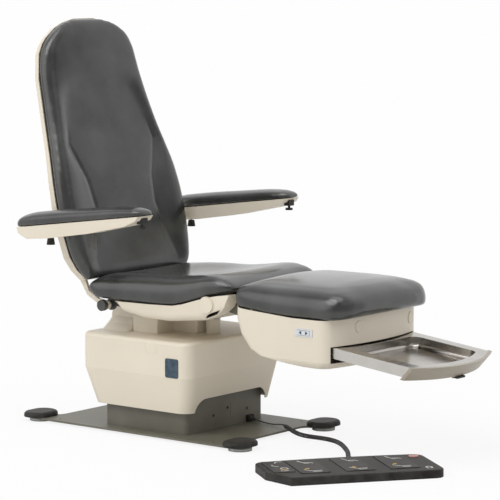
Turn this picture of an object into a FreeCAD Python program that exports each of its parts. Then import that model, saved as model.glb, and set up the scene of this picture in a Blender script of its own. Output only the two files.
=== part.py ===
import FreeCAD, Part
import math
import os
import Sketcher

# Podiatry chair. Units are millimetres. +Z is up, the legs point to -Y and the patient's right
# is -X. The origin is on the floor under the middle of the base plate. The chair rests with its
# lift part way up, its back leaning a little, its leg section level and its tray pulled out.

doc = FreeCAD.newDocument("podiatry_chair")
Vector = FreeCAD.Vector

SIZES = {
    # Base plate, its corner pads and levelling glides
    "plate_half_width": 316, "plate_half_length": 465, "plate_thickness": 8, "floor_gap": 10,
    "pad_across": 270, "pad_along": 520, "pad_width": 143, "pad_length": 115, "pad_height": 21,
    "pad_corner": 52, "pad_edge": 14, "lobe_corner": 44, "lobe_hollow": 46,
    "glide_radius": 46, "stem_radius": 8, "stem_gap": 0.2,
    "anchor_across": 285, "anchor_along": 400, "anchor_radius": 5.5,
    # Tower of painted steel and the cover that telescopes inside it
    "tower_half_width": 245, "tower_front": 233, "tower_rear": 195, "tower_top": 280,
    "tower_wall": 2.5, "tower_corner": 25, "cover_gap": 4, "cover_wall": 2, "cover_low": 100,
    "cover_top": 330, "screw_radius": 5, "screw_height": 2.2, "screw_high": 94, "screw_low": 74,
    "screw_left": 79, "screw_middle": 12, "screw_right": 136,
    "inlet_width": 48, "inlet_height": 28, "inlet_depth": 26, "inlet_low": 24, "inlet_across": 120,
    "inlet_pocket": 15, "inlet_rim": 5,
    "socket_across": 150, "socket_width": 36, "socket_height": 26, "socket_low": 20,
    "socket_depth": 12, "box_inner": 108, "box_outer": 222, "box_front": 168, "box_rear": 100,
    "box_height": 205, "box_edge": 6,
    # Telescopic lifting column and its drive
    "column_forward": 16, "outer_tube_half": 90, "tube_wall": 5, "tube_gap": 0.5,
    "outer_tube_top": 275, "middle_tube_low": 62, "inner_tube_low": 105,
    "drive_radius": 34, "drive_height": 90, "spindle_radius": 12, "spindle_top": 270,
    # Deck on top of the column, the tilt axle and the tilt ram
    "deck_top": 388, "deck_thickness": 12, "deck_half_width": 150, "deck_front": 215,
    "deck_rear": 222, "tilt_axis_back": 175, "tilt_axis_height": 445, "tilt_axle_radius": 11,
    "running_gap": 0.05, "upright_inside": 80, "upright_thickness": 12, "upright_half_length": 34,
    "upright_round": 24, "ram_forward": 170, "ram_radius": 29, "ram_low": 205, "ram_top": 452,
    "ram_rod_radius": 17, "ram_rod_low": 225, "roller_radius": 12, "roller_width": 30,
    # Moulded shroud round the column, the bare badge and the pedestal covers
    "shroud_half_width": 300, "shroud_front": 285, "shroud_rear": 275, "shroud_top": 392,
    "shroud_wall": 4, "shroud_corner": 50, "shroud_edge": 15, "shroud_crease": 252,
    "shroud_low": 107, "shroud_side_draw": 26, "shroud_front_draw": 27, "shroud_rear_draw": 43,
    "arch_half_width": 226, "arch_top": 158, "arch_corner": 60,
    "badge_width": 66, "badge_height": 76, "badge_thickness": 2, "badge_corner": 8,
    "badge_forward": 204, "badge_centre": 289,
    "neck_foot_half": 205, "neck_front": 112, "neck_rear": 250, "neck_half_width": 150,
    "neck_flare_top": 418, "neck_flare_half": 168, "neck_arc": 60, "neck_wall": 4,
    "neck_corner": 22, "neck_window": 100, "lug_slot_gap": 6, "lug_slot_lift": 15,
    "block_half_width": 167, "block_front": 18, "block_top": 464, "block_corner": 8,
    "spine_half_width": 60, "spine_front": 132,
    # Seat frame, pan, cushion and the pivots that it carries
    "pan_inset": 11, "pan_wall": 4, "pan_edge": 30, "lobe_half_width": 146, "lobe_rear": 238,
    "lobe_drop": 18, "lobe_height": 44, "lobe_arc_gap": 3, "slot_side_gap": 8, "pan_front": 485,
    "pan_arm_reach": 5, "pan_arm_low": 440, "rail_slot_front": 31, "frame_gap": 2,
    "rail_outer": 245, "rail_width": 10, "rail_low": 500, "rail_depth": 30.7, "rail_front": 330,
    "cross_depth": 24, "cross_lift": 4, "cross_height": 16, "cross_middle": 20, "cross_rear": 122,
    "track_front": 268, "track_rear": 150, "track_half_width": 22, "track_thickness": 8,
    "tilt_lug_inside": 62, "tilt_lug_thickness": 10, "tilt_lug_round": 20, "hub_wall": 13,
    "back_axis_back": 158, "back_axis_lift": 6, "back_axle_radius": 11, "hub_radius": 18,
    "axle_end": 288, "knob_radius": 22, "knob_length": 16, "lever_inside": 200,
    "lever_thickness": 8, "lever_reach": 42, "lever_lean": 34.5, "lever_pin_radius": 5,
    "lever_half_width": 9, "lever_pin_length": 18,
    "leg_axis_forward": 377, "leg_axis_lift": 54, "leg_axle_radius": 10, "leg_hub_radius": 22,
    "leg_lug_width": 12, "leg_lug_rear": 300, "leg_lever_reach": 50, "leg_pin_length": 10,
    "cap_radius": 32, "cap_height": 9,
    "seat_half_width": 306, "seat_cushion_height": 131,
    "seat_cushion_rear": 246, "seat_cushion_length": 746, "cushion_gap": 0.3,
    "cushion_side_inset": 28, "cushion_foot_inset": 14,
    # Drives inside the seat
    "back_motor_radius": 19, "back_motor_length": 150, "back_motor_rear": 42,
    "back_drive_drop": 11, "leg_motor_radius": 15, "leg_motor_length": 110,
    "leg_motor_rear": 200, "drive_rod_radius": 7, "rod_inside": 28,
    "fork_half_length": 17, "fork_thickness": 8, "fork_slot_half": 7.5, "fork_play": 7,
    "bracket_length": 30, "bracket_thickness": 8,
    # Back
    "back_lean": 14.6, "back_arm_inside": 262, "back_arm_thickness": 12,
    "back_plate_gap": 2,
    "back_plate_thickness": 5, "cushion_back": 22, "shell_wall": 5,
    "shell_depth": 30, "shell_crown": 14, "shell_inset": 8, "arm_shaft_radius": 10,
    "arm_axis_along": 328, "arm_axis_deep": 91, "back_half_width": 370, "back_length": 1181,
    "arm_reach": 352, "back_bow": 88, "back_thickness": 67, "back_dish": 18, "bolster_inset": 60,
    "arm_slot_gap": 6,
    # Arms
    "arm_centre": 464, "arm_pad_half": 52, "arm_shell_half": 46, "arm_shaft_end": 448,
    "arm_pad_rear": 431, "arm_pad_length": 655, "arm_pad_height": 46,
    "arm_pad_side_inset": 14,
    "arm_shell_rear": 420, "arm_shell_front": 212, "arm_shell_level": 688,
    "arm_shell_depth": 128, "arm_room_rear": 180, "arm_room_rear_low": 882,
    "arm_room_front": 52, "arm_room_front_low": 822, "arm_room_middle": 262,
    "arm_room_middle_low": 792, "grip_top": 880,
    "arm_wall": 4, "arm_knob_back": 302, "arm_knob_inset": 26, "arm_knob_gap": 3.6,
    "arm_knob_radius": 17,
    "arm_knob_top_radius": 13, "arm_knob_length": 26, "arm_stem_radius": 4, "arm_stem_length": 16,
    "arm_bore_extra": 2, "grip_forward": 197, "grip_width": 34, "grip_length": 26, "grip_height": 12,
    "grip_disc_radius": 15, "grip_disc_thickness": 8, "grip_stem": 10, "grip_stem_radius": 5,
    # Leg section
    "leg_arm_inside": 206, "leg_arm_thickness": 10, "leg_rail_inside": 180,
    "leg_arm_overlap": 70, "leg_arm_shoulder": 18, "leg_rear": 508, "leg_drop": 200,
    "leg_depth": 212,
    "leg_rail_drop": 48, "leg_rail_depth": 25, "leg_rail_rear": 490, "leg_rail_front": 930,
    "leg_half_width": 300, "leg_wall": 4, "leg_corner": 45, "leg_front_draw": 28, "leg_front": 985,
    "leg_bow": 1100,
    "leg_board_inset": 14, "leg_board_thickness": 8.7, "leg_board_rear": 600, "leg_board_front": 900,
    "leg_cross_rear": 700, "leg_cross_front": 905, "leg_cross_depth": 20,
    "leg_slot_side": 176, "leg_slot_depth": 16, "leg_cushion_height": 112,
    "leg_cushion_rear": 499, "leg_cushion_length": 540, "switch_hole_gap": 2,
    "leg_cushion_overhang": 10, "mouth_side_gap": 10, "mouth_lift": 24, "mouth_height": 62,
    "mouth_depth": 60,
    "switch_inset": 138, "switch_lift": 135, "bezel_length": 80, "bezel_height": 30,
    "bezel_thickness": 3, "rocker_length": 56, "rocker_height": 17, "rocker_thickness": 4.5,
    "rocker_gap": 1.5, "rocker_pin_radius": 1, "rocker_pin_bite": 3, "rocker_pin_gap": 0.5,
    # Tray
    "tray_slope": 6.7, "tray_lift": 80, "tray_out": 393, "tray_inside": 30, "tray_side_gap": 50,
    "flange_width": 42, "flange_thickness": 3, "flange_corner": 10, "bowl_depth": 40, "bowl_wall": 1.5,
    "bowl_corner": 40, "bowl_floor_edge": 16, "tray_rail_width": 12, "tray_rail_height": 40,
    "tray_rail_inside": 112, "runner_gap": 0.1, "runner_height": 26, "runner_length": 330,
    "runner_start": 81, "runner_low": 33, "tray_panel_overhang": 1, "tray_panel_top": 2,
    "tray_panel_thickness": 14, "tray_panel_lean": 38, "tray_bow": 500,
    "tray_panel_height": 54, "tray_panel_edge": 4.5,
    "latch_half_width": 26, "latch_length": 18, "latch_gap": 0.5,
    "latch_height": 7, "latch_pin_radius": 1.5, "latch_pin_inset": 2, "latch_ear_inside": 28,
    "latch_ear_width": 4,
    # Foot control
    "pedal_across": 378, "pedal_forward": 1114, "pedal_turn": 37.3, "pedal_length": 650,
    "pedal_width": 306, "pedal_bow": 12, "pedal_height": 31, "pedal_corner": 42, "pedal_edge": 5,
    "pedal_chamfer_length": 64, "pedal_chamfer_width": 124, "key_length": 236, "key_width": 110,
    "key_pitch": 170, "key_first": 152, "key_rear_shift": 22, "side_key_width": 82,
    "side_key_across": 259, "key_corner": 8, "key_gap": 1.5, "key_thickness": 7, "key_lift": 26,
    "key_floor": 18, "key_rib": 5, "side_key_length": 196, "side_key_shift": 42,
    "stop_radius": 19, "stop_low": 21.5, "stop_top": 34, "stop_along": 284,
    "stop_rear": 108, "stop_gap": 0.6, "gland_radius": 11, "gland_along": 67, "gland_end": 178.5,
    "gland_height": 14, "gland_start": 150,
    # Cord
    "lead_radius": 3.3, "coil_radius": 9.5, "plug_length": 18, "plug_radius": 8,
    "plug_height": 31, "bend_share": 0.45,
    "over": 4,
}

sheet = doc.addObject("Spreadsheet::Sheet", "Sizes")
for row, (alias, number) in enumerate(SIZES.items(), start=1):
    sheet.set(f"A{row}", alias)
    sheet.set(f"B{row}", str(number))
    sheet.setAlias(f"B{row}", alias)
doc.recompute()


class Size:
    """A number worked out from the sheet, with the formula that keeps a feature tied to it."""

    def __init__(self, value, text):
        self.value = value
        self.text = text

    def joined(self, other, sign, value):
        return Size(value, f"({self.text} {sign} {sized(other).text})")

    def __add__(self, other):
        return self.joined(other, "+", self.value + sized(other).value)

    def __sub__(self, other):
        return self.joined(other, "-", self.value - sized(other).value)

    def __mul__(self, other):
        return self.joined(other, "*", self.value * sized(other).value)

    def __truediv__(self, other):
        return self.joined(other, "/", self.value / sized(other).value)

    def __neg__(self):
        return Size(-self.value, f"(0 - {self.text})")

    def __rmul__(self, other):
        return sized(other) * self


def sized(number):
    return number if isinstance(number, Size) else Size(number, repr(number))


class Sheet:
    """Reads a size by its alias."""

    def __getattr__(self, alias):
        return Size(float(sheet.get(alias)), f"Sizes.{alias}")


s = Sheet()

# Heights that follow the seat frame's underside, and widths that follow the piece beside them

rail_top = s.rail_low + s.rail_depth
cross_low = s.rail_low + s.cross_lift
lobe_low = s.rail_low - s.lobe_drop
lobe_top = lobe_low + s.lobe_height
seat_cushion_low = rail_top + s.cushion_gap
pan_half_width = s.seat_half_width - s.pan_inset
back_axis_height = s.rail_low + s.back_axis_lift
back_drive_height = back_axis_height - s.back_drive_drop
leg_axis_height = s.rail_low + s.leg_axis_lift
leg_rail_low = leg_axis_height - s.leg_rail_drop
leg_rail_top = leg_rail_low + s.leg_rail_depth
leg_cushion_low = leg_rail_top + s.cushion_gap + s.leg_board_thickness
leg_low = leg_axis_height - s.leg_drop
switch_height = leg_low + s.switch_lift
switch_forward = s.leg_front - s.switch_inset
mouth_low = leg_low + s.mouth_lift
mouth_top = mouth_low + s.mouth_height
tray_top = leg_low + s.tray_lift
leg_cushion_half = s.leg_half_width + s.leg_cushion_overhang
leg_board_half = s.leg_half_width - s.leg_board_inset
tray_half_width = s.leg_half_width - s.tray_side_gap
tray_outside = tray_half_width + s.tray_rail_width
runner_inside = tray_outside + s.runner_gap
mouth_half_width = tray_outside + s.mouth_side_gap
tray_panel_half = tray_outside + s.tray_panel_overhang
tray_panel_low = s.tray_panel_top - s.tray_panel_height
latch_rear = s.tray_out - s.tray_panel_lean + s.latch_ear_width
latch_high = -tray_panel_low + s.latch_gap
latch_pin_high = -latch_high - s.latch_height / 2
latch_pin_back = latch_rear + s.latch_pin_inset


def sine(angle):
    return Size(math.sin(math.radians(angle.value)), f"sin({angle.text})")


def cosine(angle):
    return Size(math.cos(math.radians(angle.value)), f"cos({angle.text})")


def box(name, x, y, z):
    """A block between a low and a high value on each axis."""
    block = doc.addObject("Part::Box", name)
    for length, (low, high), axis in (("Length", x, "x"), ("Width", y, "y"), ("Height", z, "z")):
        block.setExpression(length, (sized(high) - low).text)
        block.setExpression("Placement.Base." + axis, sized(low).text)
    return block


TURNS = {"x": FreeCAD.Rotation(Vector(0, 1, 0), 90), "y": FreeCAD.Rotation(Vector(1, 0, 0), -90),
         "z": FreeCAD.Rotation()}


def rod(name, radius, axis, low, high, first, second):
    """A round bar along one axis; first and second are its other two coordinates, in x, y, z order."""
    bar = doc.addObject("Part::Cylinder", name)
    bar.Placement = FreeCAD.Placement(Vector(), TURNS[axis])
    bar.setExpression("Radius", sized(radius).text)
    bar.setExpression("Height", (sized(high) - low).text)
    places = dict(zip([other for other in "xyz" if other != axis], (first, second)))
    places[axis] = low
    for letter, place in places.items():
        bar.setExpression("Placement.Base." + letter, sized(place).text)
    return bar


def cut(name, base, *tools):
    """The base with every tool taken out of it."""
    tool = tools[0] if len(tools) == 1 else fuse(name + "_tools", *tools)
    result = doc.addObject("Part::Cut", name)
    result.Base = base
    result.Tool = tool
    return result


def fuse(name, *pieces):
    """Pieces that are welded or moulded as one."""
    result = doc.addObject("Part::MultiFuse", name)
    result.Shapes = list(pieces)
    return result


def group(name, *pieces):
    """Separate solids that share one node."""
    result = doc.addObject("Part::Compound", name)
    result.Links = list(pieces)
    return result


def mirrored(name, piece, normal=(1, 0, 0)):
    """The same piece on the other side of the chair."""
    result = doc.addObject("Part::Mirroring", name)
    result.Source = piece
    result.Normal = Vector(*normal)
    return result


def pair(name, piece):
    """A piece and its mirror image across the chair's middle."""
    return group(name, piece, mirrored(name + "_far", piece))


def sketch_on(body, role, corners, offset, name):
    """A closed outline of straight runs, each corner tied to the sheet, on one of the origin planes."""
    plane = [item for item in body.Origin.OriginFeatures if item.Role == role][0]
    sketch = body.newObject("Sketcher::SketchObject", name)
    sketch.AttachmentSupport = [(plane, "")]
    sketch.MapMode = "FlatFace"
    corners = [(sized(u), sized(v)) for u, v in corners]
    points = [Vector(u.value, v.value, 0) for u, v in corners]
    for start, end in zip(points, points[1:] + points[:1]):
        sketch.addGeometry(Part.LineSegment(start, end), False)
    for index in range(len(points)):
        sketch.addConstraint(
            Sketcher.Constraint("Coincident", index, 2, (index + 1) % len(points), 1))
    for index, (u, v) in enumerate(corners):
        for kind, place in (("DistanceX", u), ("DistanceY", v)):
            number = sketch.addConstraint(
                Sketcher.Constraint(kind, -1, 1, index, 1, place.value))
            sketch.setExpression(f"Constraints[{number}]", place.text)
    sketch.setExpression("AttachmentOffset.Base.z", sized(offset).text)
    return sketch


def slab(name, role, corners, low, high):
    """A body padded from an outline; low and high are along the axis that the plane faces."""
    body = doc.addObject("PartDesign::Body", name)
    start = -sized(high) if role == "XZ_Plane" else low
    sketch = sketch_on(body, role, corners, start, name + "_outline")
    pad = body.newObject("PartDesign::Pad", name + "_pad")
    pad.Profile = sketch
    pad.setExpression("Length", (sized(high) - low).text)
    doc.recompute()
    return body


def hollow_out(body, role, corners, low, high, name):
    """A pocket between low and high along the axis that the plane faces."""
    start = -sized(low) if role == "XZ_Plane" else high
    sketch = sketch_on(body, role, corners, start, name + "_outline")
    pocket = body.newObject("PartDesign::Pocket", name)
    pocket.Profile = sketch
    pocket.setExpression("Length", (sized(high) - low).text)
    doc.recompute()
    return body


def round_edges(body, radius, test, name):
    """Rounds the edges of the body's last feature that pass the test."""
    feature = body.Tip
    edges = [f"Edge{number}" for number, edge in enumerate(feature.Shape.Edges, start=1)
             if test(edge.BoundBox)]
    fillet = body.newObject("PartDesign::Fillet", name)
    fillet.Base = (feature, edges)
    fillet.setExpression("Radius", sized(radius).text)
    doc.recompute()
    return body


def thin_wall(body, wall, test, name):
    """Hollows the body to a wall and leaves open the faces that pass the test."""
    feature = body.Tip
    faces = [f"Face{number}" for number, face in enumerate(feature.Shape.Faces, start=1)
             if test(face.BoundBox)]
    shell = body.newObject("PartDesign::Thickness", name)
    shell.Base = (feature, faces)
    shell.setExpression("Value", sized(wall).text)
    shell.Reversed = True
    doc.recompute()
    return body


NEAR = 0.01


def upright(extent):
    return extent.XLength < NEAR and extent.YLength < NEAR


def flat_at(height):
    return lambda extent: abs(extent.ZMin - height.value) < NEAR and extent.ZLength < NEAR


def rectangle(half_x, front, rear):
    """Plan corners of a block that is symmetric across the chair."""
    return [(-half_x, -sized(front)), (half_x, -sized(front)), (half_x, rear), (-half_x, rear)]


def line(start, end):
    return Part.LineSegment(start, end).toShape()


def arc(start, middle, end):
    return Part.Arc(start, middle, end).toShape()


def rounded_plan(half_x, front, rear, corner, z):
    """A level rounded rectangle as a wire."""
    corners = [(half_x, rear), (-half_x, rear), (-half_x, -front), (half_x, -front)]
    directions = [(1, 1), (-1, 1), (-1, -1), (1, -1)]
    slant = math.sqrt(0.5)
    turns = []
    for index, ((x, y), (right, back)) in enumerate(zip(corners, directions)):
        middle = Vector(x - right * corner, y - back * corner, z)
        out_x = Vector(right * corner, 0, 0)
        out_y = Vector(0, back * corner, 0)
        start, end = (out_x, out_y) if index % 2 == 0 else (out_y, out_x)
        turns.append(Part.Arc(middle + start, middle + (out_x + out_y) * slant, middle + end))
    edges = []
    for turn, following in zip(turns, turns[1:] + turns[:1]):
        edges += [turn.toShape(), line(turn.EndPoint, following.StartPoint)]
    return Part.Wire(edges)


def bowed_plan(half_x, front, rear, corner, bow, z):
    """A level rounded rectangle whose front bulges along an arc of the radius given as bow."""
    middle = bow - front
    inner_x = half_x - corner
    inner_y = middle - math.sqrt((bow - corner) ** 2 - inner_x ** 2)
    aside = inner_x / (bow - corner)
    ahead = (inner_y - middle) / (bow - corner)
    half_way = Vector(1 + aside, ahead, 0).normalize() * corner
    slant = corner * math.sqrt(0.5)

    def at(x, y):
        return Vector(x, y, z)

    points = [at(half_x, inner_y), at(half_x, rear - corner), at(inner_x, rear),
              at(-inner_x, rear), at(-half_x, rear - corner), at(-half_x, inner_y),
              at(-aside * bow, middle + ahead * bow), at(aside * bow, middle + ahead * bow)]
    return Part.Wire([
        line(points[0], points[1]),
        arc(points[1], at(inner_x + slant, rear - corner + slant), points[2]),
        line(points[2], points[3]),
        arc(points[3], at(-inner_x - slant, rear - corner + slant), points[4]),
        line(points[4], points[5]),
        arc(points[5], at(-inner_x - half_way.x, inner_y + half_way.y), points[6]),
        arc(points[6], at(0, -front), points[7]),
        arc(points[7], at(inner_x + half_way.x, inner_y + half_way.y), points[0])])


def carved(name, shape):
    """A piece whose form needs lofts through sections that follow the sheet."""
    piece = doc.addObject("Part::Feature", name)
    piece.Shape = shape
    return piece


NODES = {}


def node(name, piece):
    NODES[name] = piece
    return piece


# Base plate on four levelling glides, each under a moulded corner pad

plate_top = s.floor_gap + s.plate_thickness
lobe_half = s.plate_half_width - s.pad_across
lobe_inside = s.pad_across - lobe_half
lobe_reach = s.pad_along + lobe_half


def plate_corners():
    """The plate's outline: a rectangle with a lobe out to each corner pad."""
    quarter = [(s.plate_half_width, lobe_reach), (lobe_inside, lobe_reach),
               (lobe_inside, s.plate_half_length)]
    rear = quarter + [(-x, y) for x, y in reversed(quarter)]
    return rear + [(-x, -y) for x, y in rear]


def build_base_plate():
    body = slab("base_plate_body", "XY_Plane", plate_corners(), s.floor_gap, plate_top)
    reach = lobe_reach.value
    inside = lobe_inside.value

    def lobe_end(extent):
        return upright(extent) and abs(abs(extent.YMin) - reach) < NEAR

    def lobe_root(extent):
        return (upright(extent) and abs(abs(extent.XMin) - inside) < NEAR
                and abs(extent.YMin) < reach - NEAR)

    round_edges(body, s.lobe_corner, lobe_end, "plate_lobe_ends")
    round_edges(body, s.lobe_hollow, lobe_root, "plate_lobe_roots")
    holes = []
    for side, across in (("right", -1), ("left", 1)):
        for end, along in (("front", -1), ("rear", 1)):
            holes.append(rod(f"stem_hole_{end}_{side}", s.stem_radius + s.stem_gap, "z", 0,
                             plate_top + s.over, s.pad_across * across, s.pad_along * along))
            holes.append(rod(f"anchor_hole_{end}_{side}", s.anchor_radius, "z", 0,
                             plate_top + s.over, s.anchor_across * across,
                             s.anchor_along * along))
    return cut("base_plate", body, *holes)


def at_corners(name, piece):
    """Four copies of a corner piece."""
    across = mirrored(name + "_across", piece)
    row = group(name + "_row", piece, across)
    return group(name, row, mirrored(name + "_rear_row", row, (0, 1, 0)))


def build_corner_pad():
    corners = [(x * s.pad_width / 2 - s.pad_across, y * s.pad_length / 2 - s.pad_along)
               for x, y in ((-1, -1), (1, -1), (1, 1), (-1, 1))]
    body = slab("corner_pad_body", "XY_Plane", corners, plate_top, plate_top + s.pad_height)
    round_edges(body, s.pad_corner, upright, "corner_pad_plan")
    round_edges(body, s.pad_edge, flat_at(plate_top + s.pad_height), "corner_pad_top")
    return at_corners("corner_pads", body)


def build_glides():
    disc = rod("glide_disc", s.glide_radius, "z", 0, s.floor_gap, -s.pad_across, -s.pad_along)
    stem = rod("glide_stem", s.stem_radius, "z", 0, plate_top, -s.pad_across, -s.pad_along)
    return at_corners("levelling_glides", fuse("glide", disc, stem))


# Painted tower, the cover that telescopes in it, and what stands in them


def socket_span():
    return s.socket_across - s.socket_width / 2, s.socket_across + s.socket_width / 2


def build_tower():
    body = slab("tower_body", "XY_Plane",
                rectangle(s.tower_half_width, s.tower_front, s.tower_rear), plate_top, s.tower_top)
    round_edges(body, s.tower_corner, upright, "tower_corners")
    thin_wall(body, s.tower_wall, lambda e: e.ZLength < NEAR, "tower_sheet")
    inlet_hole = box("inlet_hole",
                     (-s.inlet_across - s.inlet_width / 2, -s.inlet_across + s.inlet_width / 2),
                     (s.tower_rear - s.tower_wall - s.over, s.tower_rear + s.over),
                     (s.inlet_low, s.inlet_low + s.inlet_height))
    return cut("tower_cover", body, inlet_hole)


def build_tower_screws():
    screws = []
    for name, across, high in (("left", -s.screw_left, s.screw_low),
                               ("middle", s.screw_middle, s.screw_high),
                               ("right", s.screw_right, s.screw_low)):
        screws.append(rod("tower_screw_" + name, s.screw_radius, "y",
                          -s.tower_front - s.screw_height, -s.tower_front, across, high))
    return group("tower_screws", *screws)


cover_half_width = s.tower_half_width - s.tower_wall - s.cover_gap
cover_front = s.tower_front - s.tower_wall - s.cover_gap
cover_rear = s.tower_rear - s.tower_wall - s.cover_gap
cover_corner = s.tower_corner - s.tower_wall - s.cover_gap
middle_tube_half = s.outer_tube_half - s.tube_wall - s.tube_gap
inner_tube_half = middle_tube_half - s.tube_wall - s.tube_gap


def square_tube(name, half, low, high):
    """A square steel tube round the column's axis."""
    def block(label, reach, bottom, top):
        return box(label, (-reach, reach), (-s.column_forward - reach, -s.column_forward + reach),
                   (bottom, top))
    outside = block(name + "_outside", half, low, high)
    inside = block(name + "_inside", half - s.tube_wall, low - s.over, high + s.over)
    return cut(name, outside, inside)


def build_inner_cover():
    body = slab("inner_cover_body", "XY_Plane", rectangle(cover_half_width, cover_front, cover_rear),
                s.cover_low, s.cover_top)
    round_edges(body, cover_corner, upright, "inner_cover_corners")
    low = s.cover_low.value
    thin_wall(body, s.cover_wall, lambda e: e.ZMax < low + NEAR, "inner_cover_sheet")
    window = [(x * middle_tube_half, y * middle_tube_half - s.column_forward)
              for x, y in ((-1, -1), (1, -1), (1, 1), (-1, 1))]
    hollow_out(body, "XY_Plane", window, s.cover_top - s.cover_wall - s.over, s.cover_top + s.over,
               "inner_cover_window")
    ram_way = rod("cover_ram_way", s.ram_radius + s.over, "z", s.cover_top - s.cover_wall - s.over,
                  s.cover_top + s.over, 0, -s.ram_forward)
    return cut("inner_cover", body, ram_way)


def build_lift_drive():
    motor = rod("lift_motor", s.drive_radius, "z", plate_top, plate_top + s.drive_height, 0,
                -s.column_forward)
    spindle = rod("lift_spindle", s.spindle_radius, "z", plate_top, s.spindle_top, 0,
                  -s.column_forward)
    return fuse("lift_drive", motor, spindle)


def build_control_box():
    corners = [(s.box_inner, -s.box_front), (s.box_outer, -s.box_front), (s.box_outer, s.box_rear),
               (s.box_inner, s.box_rear)]
    body = slab("control_box", "XY_Plane", corners, plate_top, plate_top + s.box_height)
    return round_edges(body, s.box_edge, upright, "control_box_edges")


def build_power_inlet():
    left, right = (-s.inlet_across - s.inlet_width / 2, -s.inlet_across + s.inlet_width / 2)
    low, high = s.inlet_low, s.inlet_low + s.inlet_height
    block = box("inlet_block", (left, right), (s.tower_rear - s.inlet_depth, s.tower_rear),
                (low, high))
    pocket = box("inlet_pocket", (left + s.inlet_rim, right - s.inlet_rim),
                 (s.tower_rear - s.inlet_pocket, s.tower_rear + s.over),
                 (low + s.inlet_rim, high - s.inlet_rim))
    return cut("power_inlet", block, pocket)


def build_cord_socket():
    return box("cord_socket", socket_span(), (-s.tower_front - s.socket_depth, -s.tower_front),
               (s.socket_low, s.socket_low + s.socket_height))


# Lifting column: the outer tube stands on the plate, the middle one rises half as far as the inner
# one, and the inner one carries the deck with the two uprights of the tilt axle


def build_lift_head():
    tube = square_tube("inner_tube", inner_tube_half, s.inner_tube_low,
                       s.deck_top - s.deck_thickness)
    deck = box("deck_plate", (-s.deck_half_width, s.deck_half_width), (-s.deck_front, s.deck_rear),
               (s.deck_top - s.deck_thickness, s.deck_top))
    outside = s.upright_inside + s.upright_thickness
    front = s.tilt_axis_back - s.upright_half_length
    rear = s.tilt_axis_back + s.upright_half_length
    leg = box("upright_leg", (-outside, -s.upright_inside), (front, rear),
              (s.deck_top, s.tilt_axis_height))
    crown = rod("upright_crown", s.upright_round, "x", -outside, -s.upright_inside,
                s.tilt_axis_back, s.tilt_axis_height)
    upright_plate = fuse("upright_plate", leg, crown)
    welded = fuse("lift_head_solid", tube, deck, upright_plate,
                  mirrored("upright_plate_far", upright_plate))
    ram_hole = rod("deck_ram_hole", s.ram_radius, "z", s.deck_top - s.deck_thickness - s.over,
                   s.deck_top + s.over, 0, -s.ram_forward)
    axle_hole = rod("axle_hole", s.tilt_axle_radius + s.running_gap, "x", -outside - s.over,
                    outside + s.over, s.tilt_axis_back, s.tilt_axis_height)
    return cut("lift_head", welded, ram_hole, axle_hole)


def build_tilt_axle():
    outside = s.upright_inside + s.upright_thickness
    return rod("tilt_axle", s.tilt_axle_radius, "x", -outside - s.over, outside + s.over,
               s.tilt_axis_back, s.tilt_axis_height)


def build_tilt_ram():
    tube = rod("ram_tube", s.ram_radius, "z", s.ram_low, s.ram_top, 0, -s.ram_forward)
    bore = rod("ram_bore", s.ram_rod_radius + s.running_gap, "z", s.ram_low + s.over,
               s.ram_top + s.over, 0, -s.ram_forward)
    return cut("tilt_ram", tube, bore)


def build_tilt_rod():
    axis = s.rail_low - s.cushion_gap - s.roller_radius
    shaft = rod("tilt_rod_shaft", s.ram_rod_radius, "z", s.ram_rod_low, axis, 0, -s.ram_forward)
    roller = rod("tilt_roller", s.roller_radius, "x", -s.roller_width / 2, s.roller_width / 2,
                 -s.ram_forward, axis)
    return fuse("tilt_rod", shaft, roller)


# Moulded shroud over the tower: straight above its crease, drawn in below it


def shroud_solid(inset, top, bottom):
    """The shroud's form, smaller by an inset all round."""
    half = s.shroud_half_width.value - inset
    front = s.shroud_front.value - inset
    rear = s.shroud_rear.value - inset
    corner = s.shroud_corner.value - inset
    crease = s.shroud_crease.value
    low = s.shroud_low.value
    side_draw = s.shroud_side_draw.value
    front_draw = s.shroud_front_draw.value
    rear_draw = s.shroud_rear_draw.value
    beyond = (crease - bottom) / (crease - low)
    upper = Part.makeLoft([rounded_plan(half, front, rear, corner, crease),
                           rounded_plan(half, front, rear, corner, top)], True, True)
    lower = Part.makeLoft([rounded_plan(half - side_draw * beyond, front - front_draw * beyond,
                                        rear - rear_draw * beyond, corner, bottom),
                           rounded_plan(half, front, rear, corner, crease)], True, True)
    return upper.fuse(lower).removeSplitter()


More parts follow.
